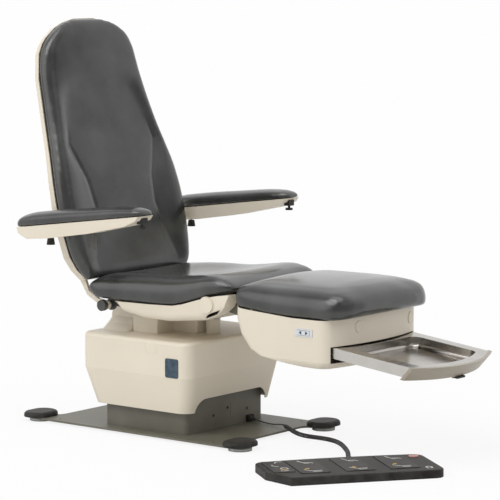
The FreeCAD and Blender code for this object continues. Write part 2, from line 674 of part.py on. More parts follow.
def build_shroud():
    top = s.shroud_top.value
    low = s.shroud_low.value
    wall = s.shroud_wall.value
    over = s.over.value
    outside = shroud_solid(0, top, low)
    edge = s.shroud_edge.value
    rim = [item for item in outside.Edges
           if item.BoundBox.ZLength < NEAR and abs(item.BoundBox.ZMin - top) < NEAR]
    outside = outside.makeFillet(edge, rim)
    inside = shroud_solid(wall, top - wall, low - over)
    inner_rim = [item for item in inside.Edges
                 if item.BoundBox.ZLength < NEAR and abs(item.BoundBox.ZMin - top + wall) < NEAR]
    inside = inside.makeFillet(edge - wall, inner_rim)
    shell = outside.cut(inside)
    half = s.arch_half_width.value
    corner = s.arch_corner.value
    arch_top = s.arch_top.value
    front = s.shroud_front.value + over
    slant = math.sqrt(0.5)

    def at(x, z):
        return Vector(x, -front, z)

    points = [at(-half, low - over), at(half, low - over), at(half, arch_top - corner),
              at(half - corner, arch_top), at(-half + corner, arch_top),
              at(-half, arch_top - corner)]
    bend = corner * (1 - slant)
    arch = Part.Wire([
        Part.LineSegment(points[0], points[1]).toShape(),
        Part.LineSegment(points[1], points[2]).toShape(),
        Part.Arc(points[2], at(half - bend, arch_top - bend), points[3]).toShape(),
        Part.LineSegment(points[3], points[4]).toShape(),
        Part.Arc(points[4], at(-half + bend, arch_top - bend), points[5]).toShape(),
        Part.LineSegment(points[5], points[0]).toShape()])
    shell = shell.cut(Part.Face(arch).extrude(Vector(0, front, 0)))
    window = s.neck_window.value
    neck_rear = s.neck_rear.value - s.neck_wall.value
    neck_front = s.neck_front.value + s.neck_wall.value
    opening = Part.makeBox(window * 2, neck_rear - neck_front, wall * 2 + over,
                           Vector(-window, neck_front, top - wall * 2))
    ram = Part.makeCylinder(s.ram_radius.value + s.running_gap.value, wall * 2 + over,
                            Vector(0, -s.ram_forward.value, top - wall * 2))
    return carved("shroud", shell.cut(opening).cut(ram))


def build_badge():
    half = s.badge_height / 2
    corners = [(y * s.badge_width / 2 - s.badge_forward, z * half + s.badge_centre)
               for y, z in ((-1, -1), (1, -1), (1, 1), (-1, 1))]
    body = slab("badge_plate", "YZ_Plane", corners,
                -s.shroud_half_width - s.badge_thickness, -s.shroud_half_width)
    return round_edges(body, s.badge_corner,
                       lambda e: e.YLength < NEAR and e.ZLength < NEAR, "badge_corners")


def neck_solid(inset, bottom, flare_at_foot):
    """The flared neck with its round top about the tilt axis, smaller by an inset."""
    front = -s.neck_front.value - inset
    rear = s.neck_rear.value - inset
    corner = s.neck_corner.value - inset
    flare = s.neck_flare_half.value - inset
    half = s.neck_half_width.value - inset
    axis_back = s.tilt_axis_back.value
    axis_height = s.tilt_axis_height.value
    arc = s.neck_arc.value - inset
    foot = Part.makeLoft([rounded_plan(flare_at_foot, front, rear, corner, bottom),
                          rounded_plan(flare, front, rear, corner, s.neck_flare_top.value),
                          rounded_plan(half, arc - axis_back, axis_back + arc,
                                       corner / 2, axis_height)], True, True)
    barrel = Part.makeCylinder(arc, half * 2, Vector(-half, axis_back, axis_height),
                               Vector(1, 0, 0))
    upper = Part.makeBox(half * 2, arc * 2, arc + s.over.value,
                         Vector(-half, axis_back - arc, axis_height - s.over.value))
    return foot.fuse(barrel.common(upper))


def build_neck():
    foot_height = s.shroud_top.value
    wall = s.neck_wall.value
    over = s.over.value
    outside = neck_solid(0, foot_height, s.neck_foot_half.value)
    inside = neck_solid(wall, foot_height - over, s.neck_window.value + over)
    shell = outside.cut(inside)
    gap = s.lug_slot_gap.value
    lug_inside = s.tilt_lug_inside.value - gap
    lug_width = s.tilt_lug_thickness.value + 2 * gap
    axis_back = s.tilt_axis_back.value
    slot_front = axis_back - s.neck_arc.value / 2
    slot_length = s.neck_rear.value - slot_front - wall - gap / 2
    height = s.tilt_axis_height.value + s.lug_slot_lift.value
    for left in (lug_inside, -lug_inside - lug_width):
        shell = shell.cut(Part.makeBox(lug_width, slot_length, s.neck_arc.value,
                                       Vector(left, slot_front, height)))
    return carved("pedestal_neck", shell)


def build_pedestal_block():
    front = -s.block_front
    rear = s.neck_front
    wide = s.block_half_width
    narrow = s.spine_half_width
    spine = -s.spine_front
    corners = [(-wide, front), (-narrow, front), (-narrow, spine), (narrow, spine),
               (narrow, front), (wide, front), (wide, rear), (-wide, rear)]
    body = slab("pedestal_block", "XY_Plane", corners, s.shroud_top, s.block_top)
    round_edges(body, s.block_corner, upright, "pedestal_block_corners")
    low = s.shroud_top.value
    return thin_wall(body, s.neck_wall, lambda e: e.ZMax < low + NEAR, "pedestal_block_shell")


# Seat frame inside the pan: two rails, two crosses, the roller track and the pivot lugs

rail_inside = s.rail_outer - s.rail_width


def rear_lug_outline():
    """The lug plate from the rear cross down to the tilt axle."""
    front = s.tilt_axis_back - s.tilt_lug_round
    rear = s.tilt_axis_back + s.tilt_lug_round
    high = cross_low + s.cross_height
    return [(front, s.tilt_axis_height), (rear, s.tilt_axis_height), (rear, high),
            (s.cross_rear - s.cross_depth / 2, high), (s.cross_rear - s.cross_depth / 2, cross_low),
            (front, cross_low)]


def build_seat_frame():
    rear = s.back_axis_back
    rail = box("seat_rail", (-s.rail_outer, -rail_inside), (-s.rail_front, rear),
               (s.rail_low, rail_top))
    hub = rod("back_hub", s.back_axle_radius + s.hub_wall, "x", -s.rail_outer, -rail_inside,
              s.back_axis_back, back_axis_height)
    lug_outside = rail_inside + s.over
    leg_lug = box("leg_lug", (-lug_outside, -rail_inside + s.leg_lug_width),
                  (-s.leg_axis_forward, -s.leg_lug_rear),
                  (leg_axis_height - s.leg_hub_radius * 2, leg_axis_height))
    leg_lug_hub = rod("leg_lug_hub", s.leg_hub_radius, "x", -lug_outside,
                      -rail_inside + s.leg_lug_width, -s.leg_axis_forward, leg_axis_height)
    tilt_lug = slab("tilt_lug", "YZ_Plane", rear_lug_outline(),
                    -s.tilt_lug_inside - s.tilt_lug_thickness, -s.tilt_lug_inside)
    tilt_hub = rod("tilt_hub", s.tilt_lug_round, "x", -s.tilt_lug_inside - s.tilt_lug_thickness,
                   -s.tilt_lug_inside, s.tilt_axis_back, s.tilt_axis_height)
    side = fuse("seat_frame_side", rail, hub, leg_lug, leg_lug_hub, tilt_lug, tilt_hub)
    crosses = []
    for name, place in (("middle", -s.cross_middle), ("rear", s.cross_rear)):
        crosses.append(box("seat_cross_" + name, (-s.rail_outer + s.over, s.rail_outer - s.over),
                           (place - s.cross_depth / 2, place + s.cross_depth / 2),
                           (cross_low, cross_low + s.cross_height)))
    track = box("roller_track", (-s.track_half_width, s.track_half_width),
                (-s.track_front, -s.cross_middle),
                (s.rail_low, s.rail_low + s.track_thickness))
    welded = fuse("seat_frame_solid", side, mirrored("seat_frame_far_side", side), track, *crosses)
    bores = []
    for name, radius, reach, back, high in (
            ("back_bore", s.back_axle_radius + s.running_gap, s.rail_outer + s.over,
             s.back_axis_back, back_axis_height),
            ("leg_bore", s.leg_axle_radius, s.rail_outer + s.over, -s.leg_axis_forward,
             leg_axis_height),
            ("tilt_bore", s.tilt_axle_radius + s.running_gap, s.upright_inside,
             s.tilt_axis_back, s.tilt_axis_height)):
        bores.append(rod(name, radius, "x", -reach, reach, back, high))
    return cut("seat_frame", welded, *bores)


def pan_outline(inset, rise):
    """The pan seen from the side, or the room in it; its top follows the cushion's underside."""
    rear = s.neck_front - s.cushion_foot_inset - inset
    lower_shares = [(0, 0.12), (0.062, 0.325), (0.24, 0.46), (0.46, 0.468), (0.763, 0.33),
                    (0.89, 0.12), (0.957, -0.14), (1, -0.527)]
    upper_shares = [(0.906, -0.466), (0.806, -0.38), (0.678, -0.21), (0.595, -0.1), (0.511, -0.03),
                    (0.331, 0.0), (0, 0.02)]
    reach = s.pan_front + rear - inset
    return [(rear - reach * along, seat_cushion_low + lift - s.seat_cushion_height * down)
            for rows, lift in ((lower_shares, inset), (upper_shares, rise))
            for along, down in rows]


def pan_form(name, inset, rise):
    """The pan's form with its two lower side edges rounded."""
    half = pan_half_width - inset
    body = slab(name, "YZ_Plane", pan_outline(inset, rise), -half, half)
    rim = seat_cushion_low.value - s.pan_edge.value / 2

    def lower_side(extent):
        return (extent.XLength < NEAR and abs(abs(extent.XMin) - half.value) < NEAR
                and extent.ZMax < rim and extent.YLength > NEAR)

    return round_edges(body, s.pan_edge - inset, lower_side, name + "_edges")


def both_sides(name, low, high, y, z):
    """Two equal blocks, one on each side of the chair."""
    return [box(name + "_right", (-sized(high), -sized(low)), y, z),
            box(name + "_left", (low, high), y, z)]


def build_seat_pan():
    body = cut("seat_pan_sheet", pan_form("seat_pan_outside", sized(0), sized(0)),
               pan_form("seat_pan_inside", s.pan_wall, s.pan_wall * 2))
    rear = s.neck_front - s.cushion_foot_inset
    lobe = box("pan_lobe", (-s.lobe_half_width, s.lobe_half_width), (rear - s.pan_wall, s.lobe_rear),
               (lobe_low, lobe_top))
    lobe_room = box("pan_lobe_room", (-s.lobe_half_width + s.pan_wall,
                                      s.lobe_half_width - s.pan_wall),
                    (rear, s.lobe_rear - s.pan_wall), (lobe_low - s.over, rail_top + s.over))
    round_room = rod("neck_room", s.neck_arc + s.lobe_arc_gap, "x", -s.lobe_half_width - s.over,
                     s.lobe_half_width + s.over, s.tilt_axis_back, s.tilt_axis_height)
    lobe_ring = cut("pan_lobe_ring", lobe, lobe_room)
    axle_room = s.tilt_lug_inside - s.lug_slot_gap
    lug_outside = s.tilt_lug_inside + s.tilt_lug_thickness + s.lug_slot_gap
    slots = both_sides("tilt_lug_slot", axle_room, lug_outside,
                       (s.tilt_axis_back - s.neck_arc, s.tilt_axis_back + s.neck_arc / 2),
                       (s.tilt_axis_height, rail_top + s.over))
    slots += both_sides("leg_arm_slot", s.leg_arm_inside - s.leg_pin_length - s.over,
                        s.leg_arm_inside + s.leg_arm_thickness + s.slot_side_gap,
                        (-s.pan_front - s.over, -s.rail_front - s.pan_arm_reach),
                        (s.pan_arm_low, leg_axis_height + s.leg_hub_radius + s.over))
    slots += both_sides("rail_slot", rail_inside - s.frame_gap, s.rail_outer + s.frame_gap,
                        (s.rail_slot_front, s.neck_front),
                        (lobe_low, rail_top + s.over))
    slots += both_sides("cross_slot", s.lobe_half_width - s.pan_wall - s.over,
                        s.lobe_half_width + s.over,
                        (s.cross_rear - s.cross_depth / 2 - s.frame_gap,
                         s.cross_rear + s.cross_depth / 2 + s.frame_gap),
                        (cross_low - s.frame_gap, cross_low + s.cross_height + s.frame_gap))
    slots.append(box("ram_slot", (-s.ram_radius, s.ram_radius), (-s.track_front, -s.track_rear),
                     (s.rail_low - s.ram_radius * 2, s.rail_low)))
    rod_half = s.drive_rod_radius + s.over
    rod_across = s.lever_inside - s.lever_pin_length + s.fork_thickness / 2
    slots.append(box("back_rod_slot", (rod_across - rod_half, rod_across + rod_half),
                     (s.rail_slot_front, s.neck_front),
                     (back_drive_height - rod_half, back_drive_height + rod_half)))
    moulded = fuse("seat_pan_solid", body, lobe_ring)
    return cut("seat_pan", moulded, round_room, *slots)


def build_seat_caps():
    cap = rod("seat_cap", s.cap_radius, "x", -pan_half_width - s.cap_height, -pan_half_width,
              -s.leg_axis_forward, leg_axis_height)
    return pair("seat_caps", cap)


def build_leg_axle():
    pin = rod("leg_pin", s.leg_axle_radius, "x", -rail_inside - s.over,
              -s.leg_arm_inside + s.over, -s.leg_axis_forward, leg_axis_height)
    return pair("leg_axle", pin)


def build_drive(name, radius, across, front, rear, high):
    """A motor tube under the seat, bored for its rod and bracketed to a rail."""
    tube = rod(name + "_tube", radius, "y", front, rear, across, high)
    middle = (front + rear) / 2
    bracket = box(name + "_bracket", (across, rail_inside),
                  (middle - s.bracket_length / 2, middle + s.bracket_length / 2),
                  (high, high + s.bracket_thickness))
    bore = rod(name + "_bore", s.drive_rod_radius + s.running_gap, "y", front - s.over,
               rear + s.over, across, high)
    return cut(name, fuse(name + "_solid", tube, bracket), bore)


back_drive_across = s.lever_inside - s.lever_pin_length + s.fork_thickness / 2
leg_drive_across = s.leg_arm_inside - s.leg_pin_length + s.fork_thickness / 2
pin_back = s.back_axis_back + s.lever_reach * sine(s.lever_lean)
pin_high = back_axis_height - s.lever_reach * cosine(s.lever_lean)
leg_pin_high = leg_axis_height - s.leg_lever_reach


def build_fork(name, across, back, low, high, slot_low, slot_high, rod_end, rod_high):
    """A drive rod with a slotted plate that pushes the lever's pin."""
    half = s.fork_thickness / 2
    plate = box(name + "_plate", (across - half, across + half),
                (back - s.fork_half_length, back + s.fork_half_length), (low, high))
    slot = box(name + "_slot", (across - half - s.over, across + half + s.over),
               (back - s.fork_slot_half, back + s.fork_slot_half), (slot_low, slot_high))
    if rod_end.value < back.value:
        shaft = rod(name + "_shaft", s.drive_rod_radius, "y", rod_end,
                    back - s.fork_half_length + s.over, across, rod_high)
    else:
        shaft = rod(name + "_shaft", s.drive_rod_radius, "y", back + s.fork_half_length - s.over,
                    rod_end, across, rod_high)
    return fuse(name, cut(name + "_fork", plate, slot), shaft)


def build_back_rod():
    slot_low = back_axis_height - s.lever_reach - s.lever_pin_radius - s.fork_play / 2
    slot_high = pin_high + s.lever_pin_radius + s.fork_play
    return build_fork("back_rod", back_drive_across, pin_back,
                      slot_low - s.fork_play, back_drive_height + s.drive_rod_radius + s.running_gap,
                      slot_low, slot_high, -s.back_motor_rear - s.rod_inside, back_drive_height)


def build_leg_rod():
    slot_low = leg_pin_high - s.lever_pin_radius - s.fork_play / 2
    slot_high = leg_pin_high + s.lever_pin_radius + s.fork_play
    return build_fork("leg_rod", leg_drive_across, -s.leg_axis_forward,
                      slot_low - s.fork_play, slot_high + s.fork_play,
                      slot_low, slot_high,
                      -s.leg_motor_rear - s.leg_motor_length + s.rod_inside, leg_pin_high)


# Soft forms: sections of a flat underside, two rounded sides and a top that dips or crowns


def cushion_section(place, half, low, rim, centre, crest_inset):
    """One closed section; place turns a width and a height into a point."""
    thickness = rim - low
    side_share, foot_share, widest_share = 0.45, 0.25, 0.45
    crest = half - min(crest_inset, thickness * side_share)
    foot = half - min(s.cushion_foot_inset.value, thickness * foot_share)
    widest = low + thickness * widest_share
    return Part.Wire([
        line(place(-foot, low), place(foot, low)),
        arc(place(foot, low), place(half, widest), place(crest, rim)),
        arc(place(crest, rim), place(0, centre), place(-crest, rim)),
        arc(place(-crest, rim), place(-half, widest), place(-foot, low))])


def crosswise(y):
    """Sections that stand across the chair at a place along it."""
    return lambda x, z: Vector(x, y, z)


def build_level_cushion(name, rows, half, rear, length, low, height):
    sections = []
    for along, wide, bottom, rim, centre in rows:
        base, rise = low.value, height.value
        sections.append(cushion_section(
            crosswise(rear.value - length.value * along), half.value * wide,
            base + rise * bottom, base + rise * rim, base + rise * centre,
            s.cushion_side_inset.value))
    return carved(name, Part.makeLoft(sections, True, True))


seat_cushion_shares = [
    (0.002, 0.94, 0.31, 0.40, 0.41), (0.022, 0.97, 0.21, 0.475, 0.49),
    (0.051, 0.985, 0.10, 0.56, 0.57), (0.092, 0.995, 0, 0.645, 0.65), (0.16, 1, 0, 0.735, 0.66),
    (0.3225, 1, 0, 0.82, 0.67), (0.451, 1, 0.004, 0.85, 0.68), (0.53, 1, 0.02, 0.87, 0.70),
    (0.5935, 1, 0.06, 0.89, 0.74), (0.66, 1, 0.145, 0.92, 0.79), (0.725, 1, 0.25, 0.95, 0.85),
    (0.8265, 0.995, 0.41, 1.0, 0.96), (0.905, 0.98, 0.50, 0.93, 0.94),
    (0.959, 0.95, 0.545, 0.82, 0.84), (0.994, 0.90, 0.60, 0.70, 0.72)]

leg_cushion_shares = [
    (0.002, 0.93, 0.45, 0.78, 0.80), (0.016, 0.955, 0.3, 0.9, 0.93), (0.044, 0.975, 0.16, 0.97, 1),
    (0.167, 1, 0.11, 1.0, 1.1), (0.534, 1, 0, 1.0, 1.12), (0.744, 1, 0, 0.99, 1.09),
    (0.854, 1, 0.01, 0.97, 1.03), (0.9, 0.985, 0.03, 0.95, 1), (0.935, 0.95, 0.06, 0.92, 0.96),
    (0.963, 0.87, 0.1, 0.88, 0.91), (0.983, 0.72, 0.16, 0.8, 0.84), (0.998, 0.42, 0.3, 0.66, 0.7)]


def build_seat_cushion():
    return build_level_cushion("seat_cushion", seat_cushion_shares, s.seat_half_width,
                               s.seat_cushion_rear, s.seat_cushion_length, seat_cushion_low,
                               s.seat_cushion_height)


def build_leg_cushion():
    return build_level_cushion("leg_cushion", leg_cushion_shares, leg_cushion_half,
                               -s.leg_cushion_rear, s.leg_cushion_length, leg_cushion_low,
                               s.leg_cushion_height)


# Back: stub axles, arms and plate of steel, a moulded shell behind and the cushion in front

lean_sine = sine(s.back_lean)
lean_cosine = cosine(s.back_lean)


def on_back(up, deep):
    """Side-view place of a point given along the leaning back and behind its hinge line."""
    return (s.back_axis_back + up * lean_sine + deep * lean_cosine,
            back_axis_height + up * lean_cosine - deep * lean_sine)


def build_back_axle():
    inside = s.lever_inside
    stub = rod("back_stub", s.back_axle_radius, "x", inside, s.axle_end, s.back_axis_back,
               back_axis_height)
    knob = rod("back_knob", s.knob_radius, "x", s.axle_end, s.axle_end + s.knob_length,
               s.back_axis_back, back_axis_height)
    stub_and_knob = fuse("back_stub_and_knob", stub, knob)
    outside = inside + s.lever_thickness
    wide_back = s.lever_half_width * cosine(s.lever_lean)
    wide_high = s.lever_half_width * sine(s.lever_lean)
    corners = [(s.back_axis_back - wide_back, back_axis_height - wide_high),
               (pin_back - wide_back, pin_high - wide_high),
               (pin_back + wide_back, pin_high + wide_high),
               (s.back_axis_back + wide_back, back_axis_height + wide_high)]
    arm = slab("back_lever_arm", "YZ_Plane", corners, inside, outside)
    hub = rod("back_lever_hub", s.hub_radius, "x", inside, outside, s.back_axis_back,
              back_axis_height)
    tip = rod("back_lever_tip", s.lever_half_width, "x", inside, outside, pin_back, pin_high)
    pin = rod("back_lever_pin", s.lever_pin_radius, "x", inside - s.lever_pin_length, outside,
              pin_back, pin_high)
    lever_side = fuse("back_lever_side", stub_and_knob, arm, hub, tip, pin)
    return group("back_axle", lever_side, mirrored("back_stub_far", stub_and_knob))


back_shares = [
    (0.098, 0.82, 0.45, 0.52, 0.15, 0.9), (0.1372, 0.905, 0.568, 0.88, 0.6, 0.95),
    (0.182, 0.955, 0.648, 1, 0.9, 1), (0.2701, 0.99, 0.648, 1, 1, 1),
    (0.3573, 1, 0.659, 1, 1, 0.8), (0.4454, 0.975, 0.682, 1, 0.95, 0.7),
    (0.5351, 0.92, 0.773, 1, 0.7, 0.62), (0.6249, 0.865, 0.898, 1, 0.3, 0.6),
    (0.713, 0.825, 0.955, 1, -0.2, 0.6), (0.8019, 0.79, 1, 1, -0.35, 0.6),
    (0.8874, 0.735, 0.898, 0.97, -0.3, 0.6), (0.92, 0.68, 0.79, 0.91, -0.25, 0.6),
    (0.9399, 0.624, 0.705, 0.85, -0.2, 0.6), (0.9695, 0.497, 0.580, 0.66, -0.15, 0.6),
    (0.9873, 0.365, 0.5, 0.45, -0.1, 0.6), (1, 0.19, 0.455, 0.22, -0.05, 0.6)]
plate_foot_shares = back_shares[1]
slot_head_shares = back_shares[2]
plate_head_shares = back_shares[5]


def plate_front():
    """How far behind the hinge line the plate lies: just behind the cushion at the plate's head."""
    return s.back_bow * plate_head_shares[2] + s.cushion_back + s.back_plate_gap


back_arm_shares = [(0.005, -0.057), (0.282, 0.09), (0.385, 0.247), (0.413, 0.381), (0.44, 0.551),
                   (0.392, 0.551), (0.349, 0.381), (0.312, 0.267), (0.261, 0.142), (0.119, 0.062),
                   (-0.023, 0.045)]


def build_back_frame():
    """Two arms welded to a plate that lies behind the cushion between two of its stations."""
    reach = s.arm_reach
    corners = [(s.back_axis_back + reach * back, back_axis_height + reach * up)
               for back, up in back_arm_shares]
    outside = s.back_arm_inside + s.back_arm_thickness
    arm = slab("back_arm", "YZ_Plane", corners, -outside, -s.back_arm_inside)
    hub = rod("back_arm_hub", s.hub_radius, "x", -outside, -s.back_arm_inside, s.back_axis_back,
              back_axis_height)
    side = fuse("back_arm_side", arm, hub)
    low = s.back_length * plate_foot_shares[0]
    high = s.back_length * plate_head_shares[0]
    front = plate_front()
    rear = front + s.back_plate_thickness
    plate = slab("back_plate", "YZ_Plane",
                 [on_back(low, front), on_back(low, rear), on_back(high, rear),
                  on_back(high, front)], -outside, outside)
    axis_back, axis_high = on_back(s.arm_axis_along, s.arm_axis_deep)
    shaft = rod("arm_shaft", s.arm_shaft_radius, "x", -s.arm_shaft_end, s.arm_shaft_end,
                axis_back, axis_high)
    welded = fuse("back_frame_solid", side, mirrored("back_arm_far_side", side), plate, shaft)
    bore = rod("back_arm_bore", s.back_axle_radius, "x", -outside - s.over, outside + s.over,
               s.back_axis_back, back_axis_height)
    return cut("back_frame", welded, bore)


def behind(up, surface):
    """Sections square to the back: a width and a height in front of a surface."""
    def place(x, height):
        back, high = on_back(sized(up), sized(surface - height))
        return Vector(x, back.value, high.value)
    return place


def build_back_cushion():
    sections = []
    for along, wide, bow, thick, dish, deep in back_shares:
        up = s.back_length.value * along
        surface = s.back_bow.value * bow + s.cushion_back.value
        rim = s.back_thickness.value * thick
        sections.append(cushion_section(behind(up, surface), s.back_half_width.value * wide, 0, rim,
                                        rim - s.back_dish.value * dish, s.bolster_inset.value))
    return carved("back_cushion", Part.makeLoft(sections, True, True))


def shell_form(inset):
    """The shell's form behind the cushion, smaller by an inset all round."""
    first = s.back_length.value * back_shares[0][0] + inset
    last = s.back_length.value - inset
    sections = []
    for along, wide, bow, thick, dish, deep in back_shares:
        up = min(max(s.back_length.value * along, first), last)
        surface = s.back_bow.value * bow + s.cushion_back.value + s.cushion_gap.value
        place = behind(up, surface)
        half = s.back_half_width.value * wide - s.shell_inset.value - inset
        front = s.over.value * (inset > 0)
        rear = inset - s.shell_depth.value * deep
        middle = rear - s.shell_crown.value * deep
        sections.append(Part.Wire([
            line(place(-half, front), place(half, front)),
            line(place(half, front), place(half, rear)),
            arc(place(half, rear), place(0, middle), place(-half, rear)),
            line(place(-half, rear), place(-half, front))]))
    return Part.makeLoft(sections, True, True)


def build_back_shell():
    shell = shell_form(0).cut(shell_form(s.shell_wall.value))
    axis_back, axis_high = on_back(s.arm_axis_along, s.arm_axis_deep)
    far = s.arm_shaft_end.value
    shaft = Part.makeCylinder(s.arm_shaft_radius.value + s.running_gap.value, far * 2,
                              Vector(-far, axis_back.value, axis_high.value), Vector(1, 0, 0))
    shell = shell.cut(shaft)
    gap = s.arm_slot_gap.value
    low = s.back_length.value * back_shares[0][0] - gap
    high = s.back_length.value * slot_head_shares[0]
    front = plate_front().value - gap * 2
    rear = plate_front().value * 2
    for inside in (s.back_arm_inside.value - gap,
                   -s.back_arm_inside.value - s.back_arm_thickness.value - gap):
        corners = [on_back(sized(up), sized(deep))
                   for up, deep in ((low, front), (low, rear), (high, rear), (high, front))]
        points = [Vector(inside, back.value, up.value) for back, up in corners]
        face = Part.Face(Part.makePolygon(points + points[:1]))
        shell = shell.cut(face.extrude(Vector(s.back_arm_thickness.value + gap * 2, 0, 0)))
    return carved("back_shell", shell)


# Arms that fold up on the back: a moulded shell, a soft pad, a bracket under the tip and a knob


arm_shell_shares = [(0, 1.025), (1, 1.659), (0.981, 1.523), (0.894, 1.336), (0.582, 1.008),
                    (0.266, 0.773), (0.087, 0.688), (0.0125, 0.852)]
arm_top_shares = arm_shell_shares[:2]
arm_foot_shares = arm_shell_shares[5:7]


def arm_shell_height(y, edge_shares):
    """Height at a place along the arm of the straight edge between two corners of the shell."""
    (first_along, first_up), (last_along, last_up) = edge_shares
    along = (s.arm_shell_rear - y) / (s.arm_shell_rear + s.arm_shell_front)
    slope = (last_up - first_up) / (last_along - first_along)
    return s.arm_shell_level + s.arm_shell_depth * ((along - first_along) * slope + first_up)


arm_knob_top = arm_shell_height(s.arm_knob_back, arm_foot_shares) - s.arm_knob_gap
arm_knob_low = arm_knob_top - s.arm_knob_length
arm_knob_across = s.arm_centre - s.arm_knob_inset


def arm_pocket(body, centre):
    """The room in the shell ahead of its solid rear block."""
    corners = [(-s.arm_room_rear, s.arm_room_rear_low), (s.arm_room_front, s.arm_room_front_low),
               (s.arm_room_middle, s.arm_room_middle_low), (s.arm_room_middle, s.arm_shell_level * 2),
               (-s.arm_room_rear, s.arm_shell_level * 2)]
    half = s.arm_shell_half - s.arm_wall
    return hollow_out(body, "YZ_Plane", corners, centre - half, centre + half, "arm_room")


def build_arm_shell():
    reach = s.arm_shell_rear + s.arm_shell_front
    corners = [(s.arm_shell_rear - reach * along, s.arm_shell_level + s.arm_shell_depth * up)
               for along, up in arm_shell_shares]
    body = slab("arm_shell_body", "YZ_Plane", corners, s.arm_centre - s.arm_shell_half,
                s.arm_centre + s.arm_shell_half)
    arm_pocket(body, s.arm_centre)
    back, high = on_back(s.arm_axis_along, s.arm_axis_deep)
    inner = s.arm_centre - s.arm_shell_half
    bore = rod("arm_shaft_bore", s.arm_shaft_radius + s.running_gap, "x", inner - s.over,
               s.arm_shaft_end + s.arm_bore_extra, back, high)
    knob_bore = rod("arm_knob_bore", s.arm_stem_radius + s.running_gap, "z", arm_knob_low,
                    arm_knob_top + s.arm_stem_length + s.arm_bore_extra, arm_knob_across,
                    s.arm_knob_back)
    return cut("arm_shell_left", body, bore, knob_bore)


arm_pad_shares = [(0, 0.62, 0.5), (0.02, 0.84, 0.86), (0.06, 0.95, 1.08), (0.15, 1, 1.2),
                  (0.35, 1, 1.18), (0.55, 1, 1.1), (0.8, 1, 1), (0.92, 0.97, 0.83),
                  (0.975, 0.84, 0.55), (1, 0.6, 0.2)]

arm_pad_crown_share = 0.82


def build_arm_pad():
    sections = []
    for along, wide, tall in arm_pad_shares:
        y = s.arm_pad_rear.value - s.arm_pad_length.value * along
        base = arm_shell_height(sized(y), arm_top_shares).value + s.cushion_gap.value
        top = s.arm_pad_height.value * tall

        def place(x, z, back=y, high=base):
            return Vector(s.arm_centre.value + x, back, high + z)

        sections.append(cushion_section(place, s.arm_pad_half.value * wide, 0,
                                        top * arm_pad_crown_share, top,
                                        s.arm_pad_side_inset.value))
    return carved("arm_pad_left", Part.makeLoft(sections, True, True))


def build_arm_bracket(shell):
    high = s.grip_top
    block = box("grip_block", (s.arm_centre - s.grip_width / 2, s.arm_centre + s.grip_width / 2),
                (-s.grip_forward - s.grip_length / 2, -s.grip_forward + s.grip_length / 2),
                (high - s.grip_height, high + s.grip_height))
    pad = cut("grip_bracket", block, shell)
    low = high - s.grip_height - s.grip_stem
    stem = rod("grip_stem", s.grip_stem_radius, "z", low, high - s.grip_height + s.over,
               s.arm_centre, -s.grip_forward)
    disc = rod("grip_disc", s.grip_disc_radius, "z", low - s.grip_disc_thickness, low,
               s.arm_centre, -s.grip_forward)
    return fuse("arm_bracket_left", pad, stem, disc)


def build_arm_knob():
    knob = doc.addObject("Part::Cone", "arm_knob_grip")
    knob.setExpression("Radius1", s.arm_knob_radius.text)
    knob.setExpression("Radius2", s.arm_knob_top_radius.text)
    knob.setExpression("Height", s.arm_knob_length.text)
    for letter, place in (("x", arm_knob_across), ("y", s.arm_knob_back), ("z", arm_knob_low)):
        knob.setExpression("Placement.Base." + letter, place.text)
    stem = rod("arm_knob_stem", s.arm_stem_radius, "z", arm_knob_top - s.over,
               arm_knob_top + s.arm_stem_length, arm_knob_across, s.arm_knob_back)
    return fuse("arm_knob_left", knob, stem)


# Leg section: a steel frame that folds about the leg axle and a box that slides out along it


def build_leg_frame():
    outside = s.leg_arm_inside + s.leg_arm_thickness
    rail_outside = s.leg_arm_inside + s.over
    rail = box("leg_rail", (-rail_outside, -s.leg_rail_inside), (-s.leg_rail_front, -s.leg_rail_rear),
               (leg_rail_low, leg_rail_top))
    tip = s.leg_rail_rear + s.leg_arm_overlap
    corners = [(-s.leg_axis_forward, leg_axis_height + s.leg_hub_radius),
               (-s.leg_rail_rear + s.leg_cross_depth, leg_rail_top + s.leg_arm_shoulder),
               (-tip, leg_rail_top), (-tip, leg_rail_low), (-s.leg_rail_rear, leg_rail_low),
               (-s.leg_axis_forward, leg_axis_height - s.leg_hub_radius)]
    arm = slab("leg_arm", "YZ_Plane", corners, -outside, -s.leg_arm_inside)
    hub = rod("leg_arm_hub", s.leg_hub_radius, "x", -outside, -s.leg_arm_inside,
              -s.leg_axis_forward, leg_axis_height)
    side = fuse("leg_frame_side", rail, arm, hub)
    crosses = []
    for name, place in (("rear", s.leg_cross_rear), ("front", s.leg_cross_front)):
        crosses.append(box("leg_cross_" + name, (-rail_outside + s.over, rail_outside - s.over),
                           (-place - s.leg_cross_depth / 2, -place + s.leg_cross_depth / 2),
                           (leg_rail_low, leg_rail_top - s.over)))
    lever = box("leg_lever", (s.leg_arm_inside, outside),
                (-s.leg_axis_forward - s.lever_half_width, -s.leg_axis_forward + s.lever_half_width),
                (leg_pin_high, leg_axis_height))
    lever_tip = rod("leg_lever_tip", s.lever_half_width, "x", s.leg_arm_inside, outside,
                    -s.leg_axis_forward, leg_pin_high)
    pin = rod("leg_lever_pin", s.lever_pin_radius, "x", s.leg_arm_inside - s.leg_pin_length, outside,
              -s.leg_axis_forward, leg_pin_high)
    welded = fuse("leg_frame_solid", side, mirrored("leg_frame_far_side", side), lever, lever_tip,
                  pin, *crosses)
    bore = rod("leg_axle_bore", s.leg_axle_radius + s.running_gap, "x", -outside - s.over,
               outside + s.over, -s.leg_axis_forward, leg_axis_height)
    return cut("leg_frame", welded, bore)


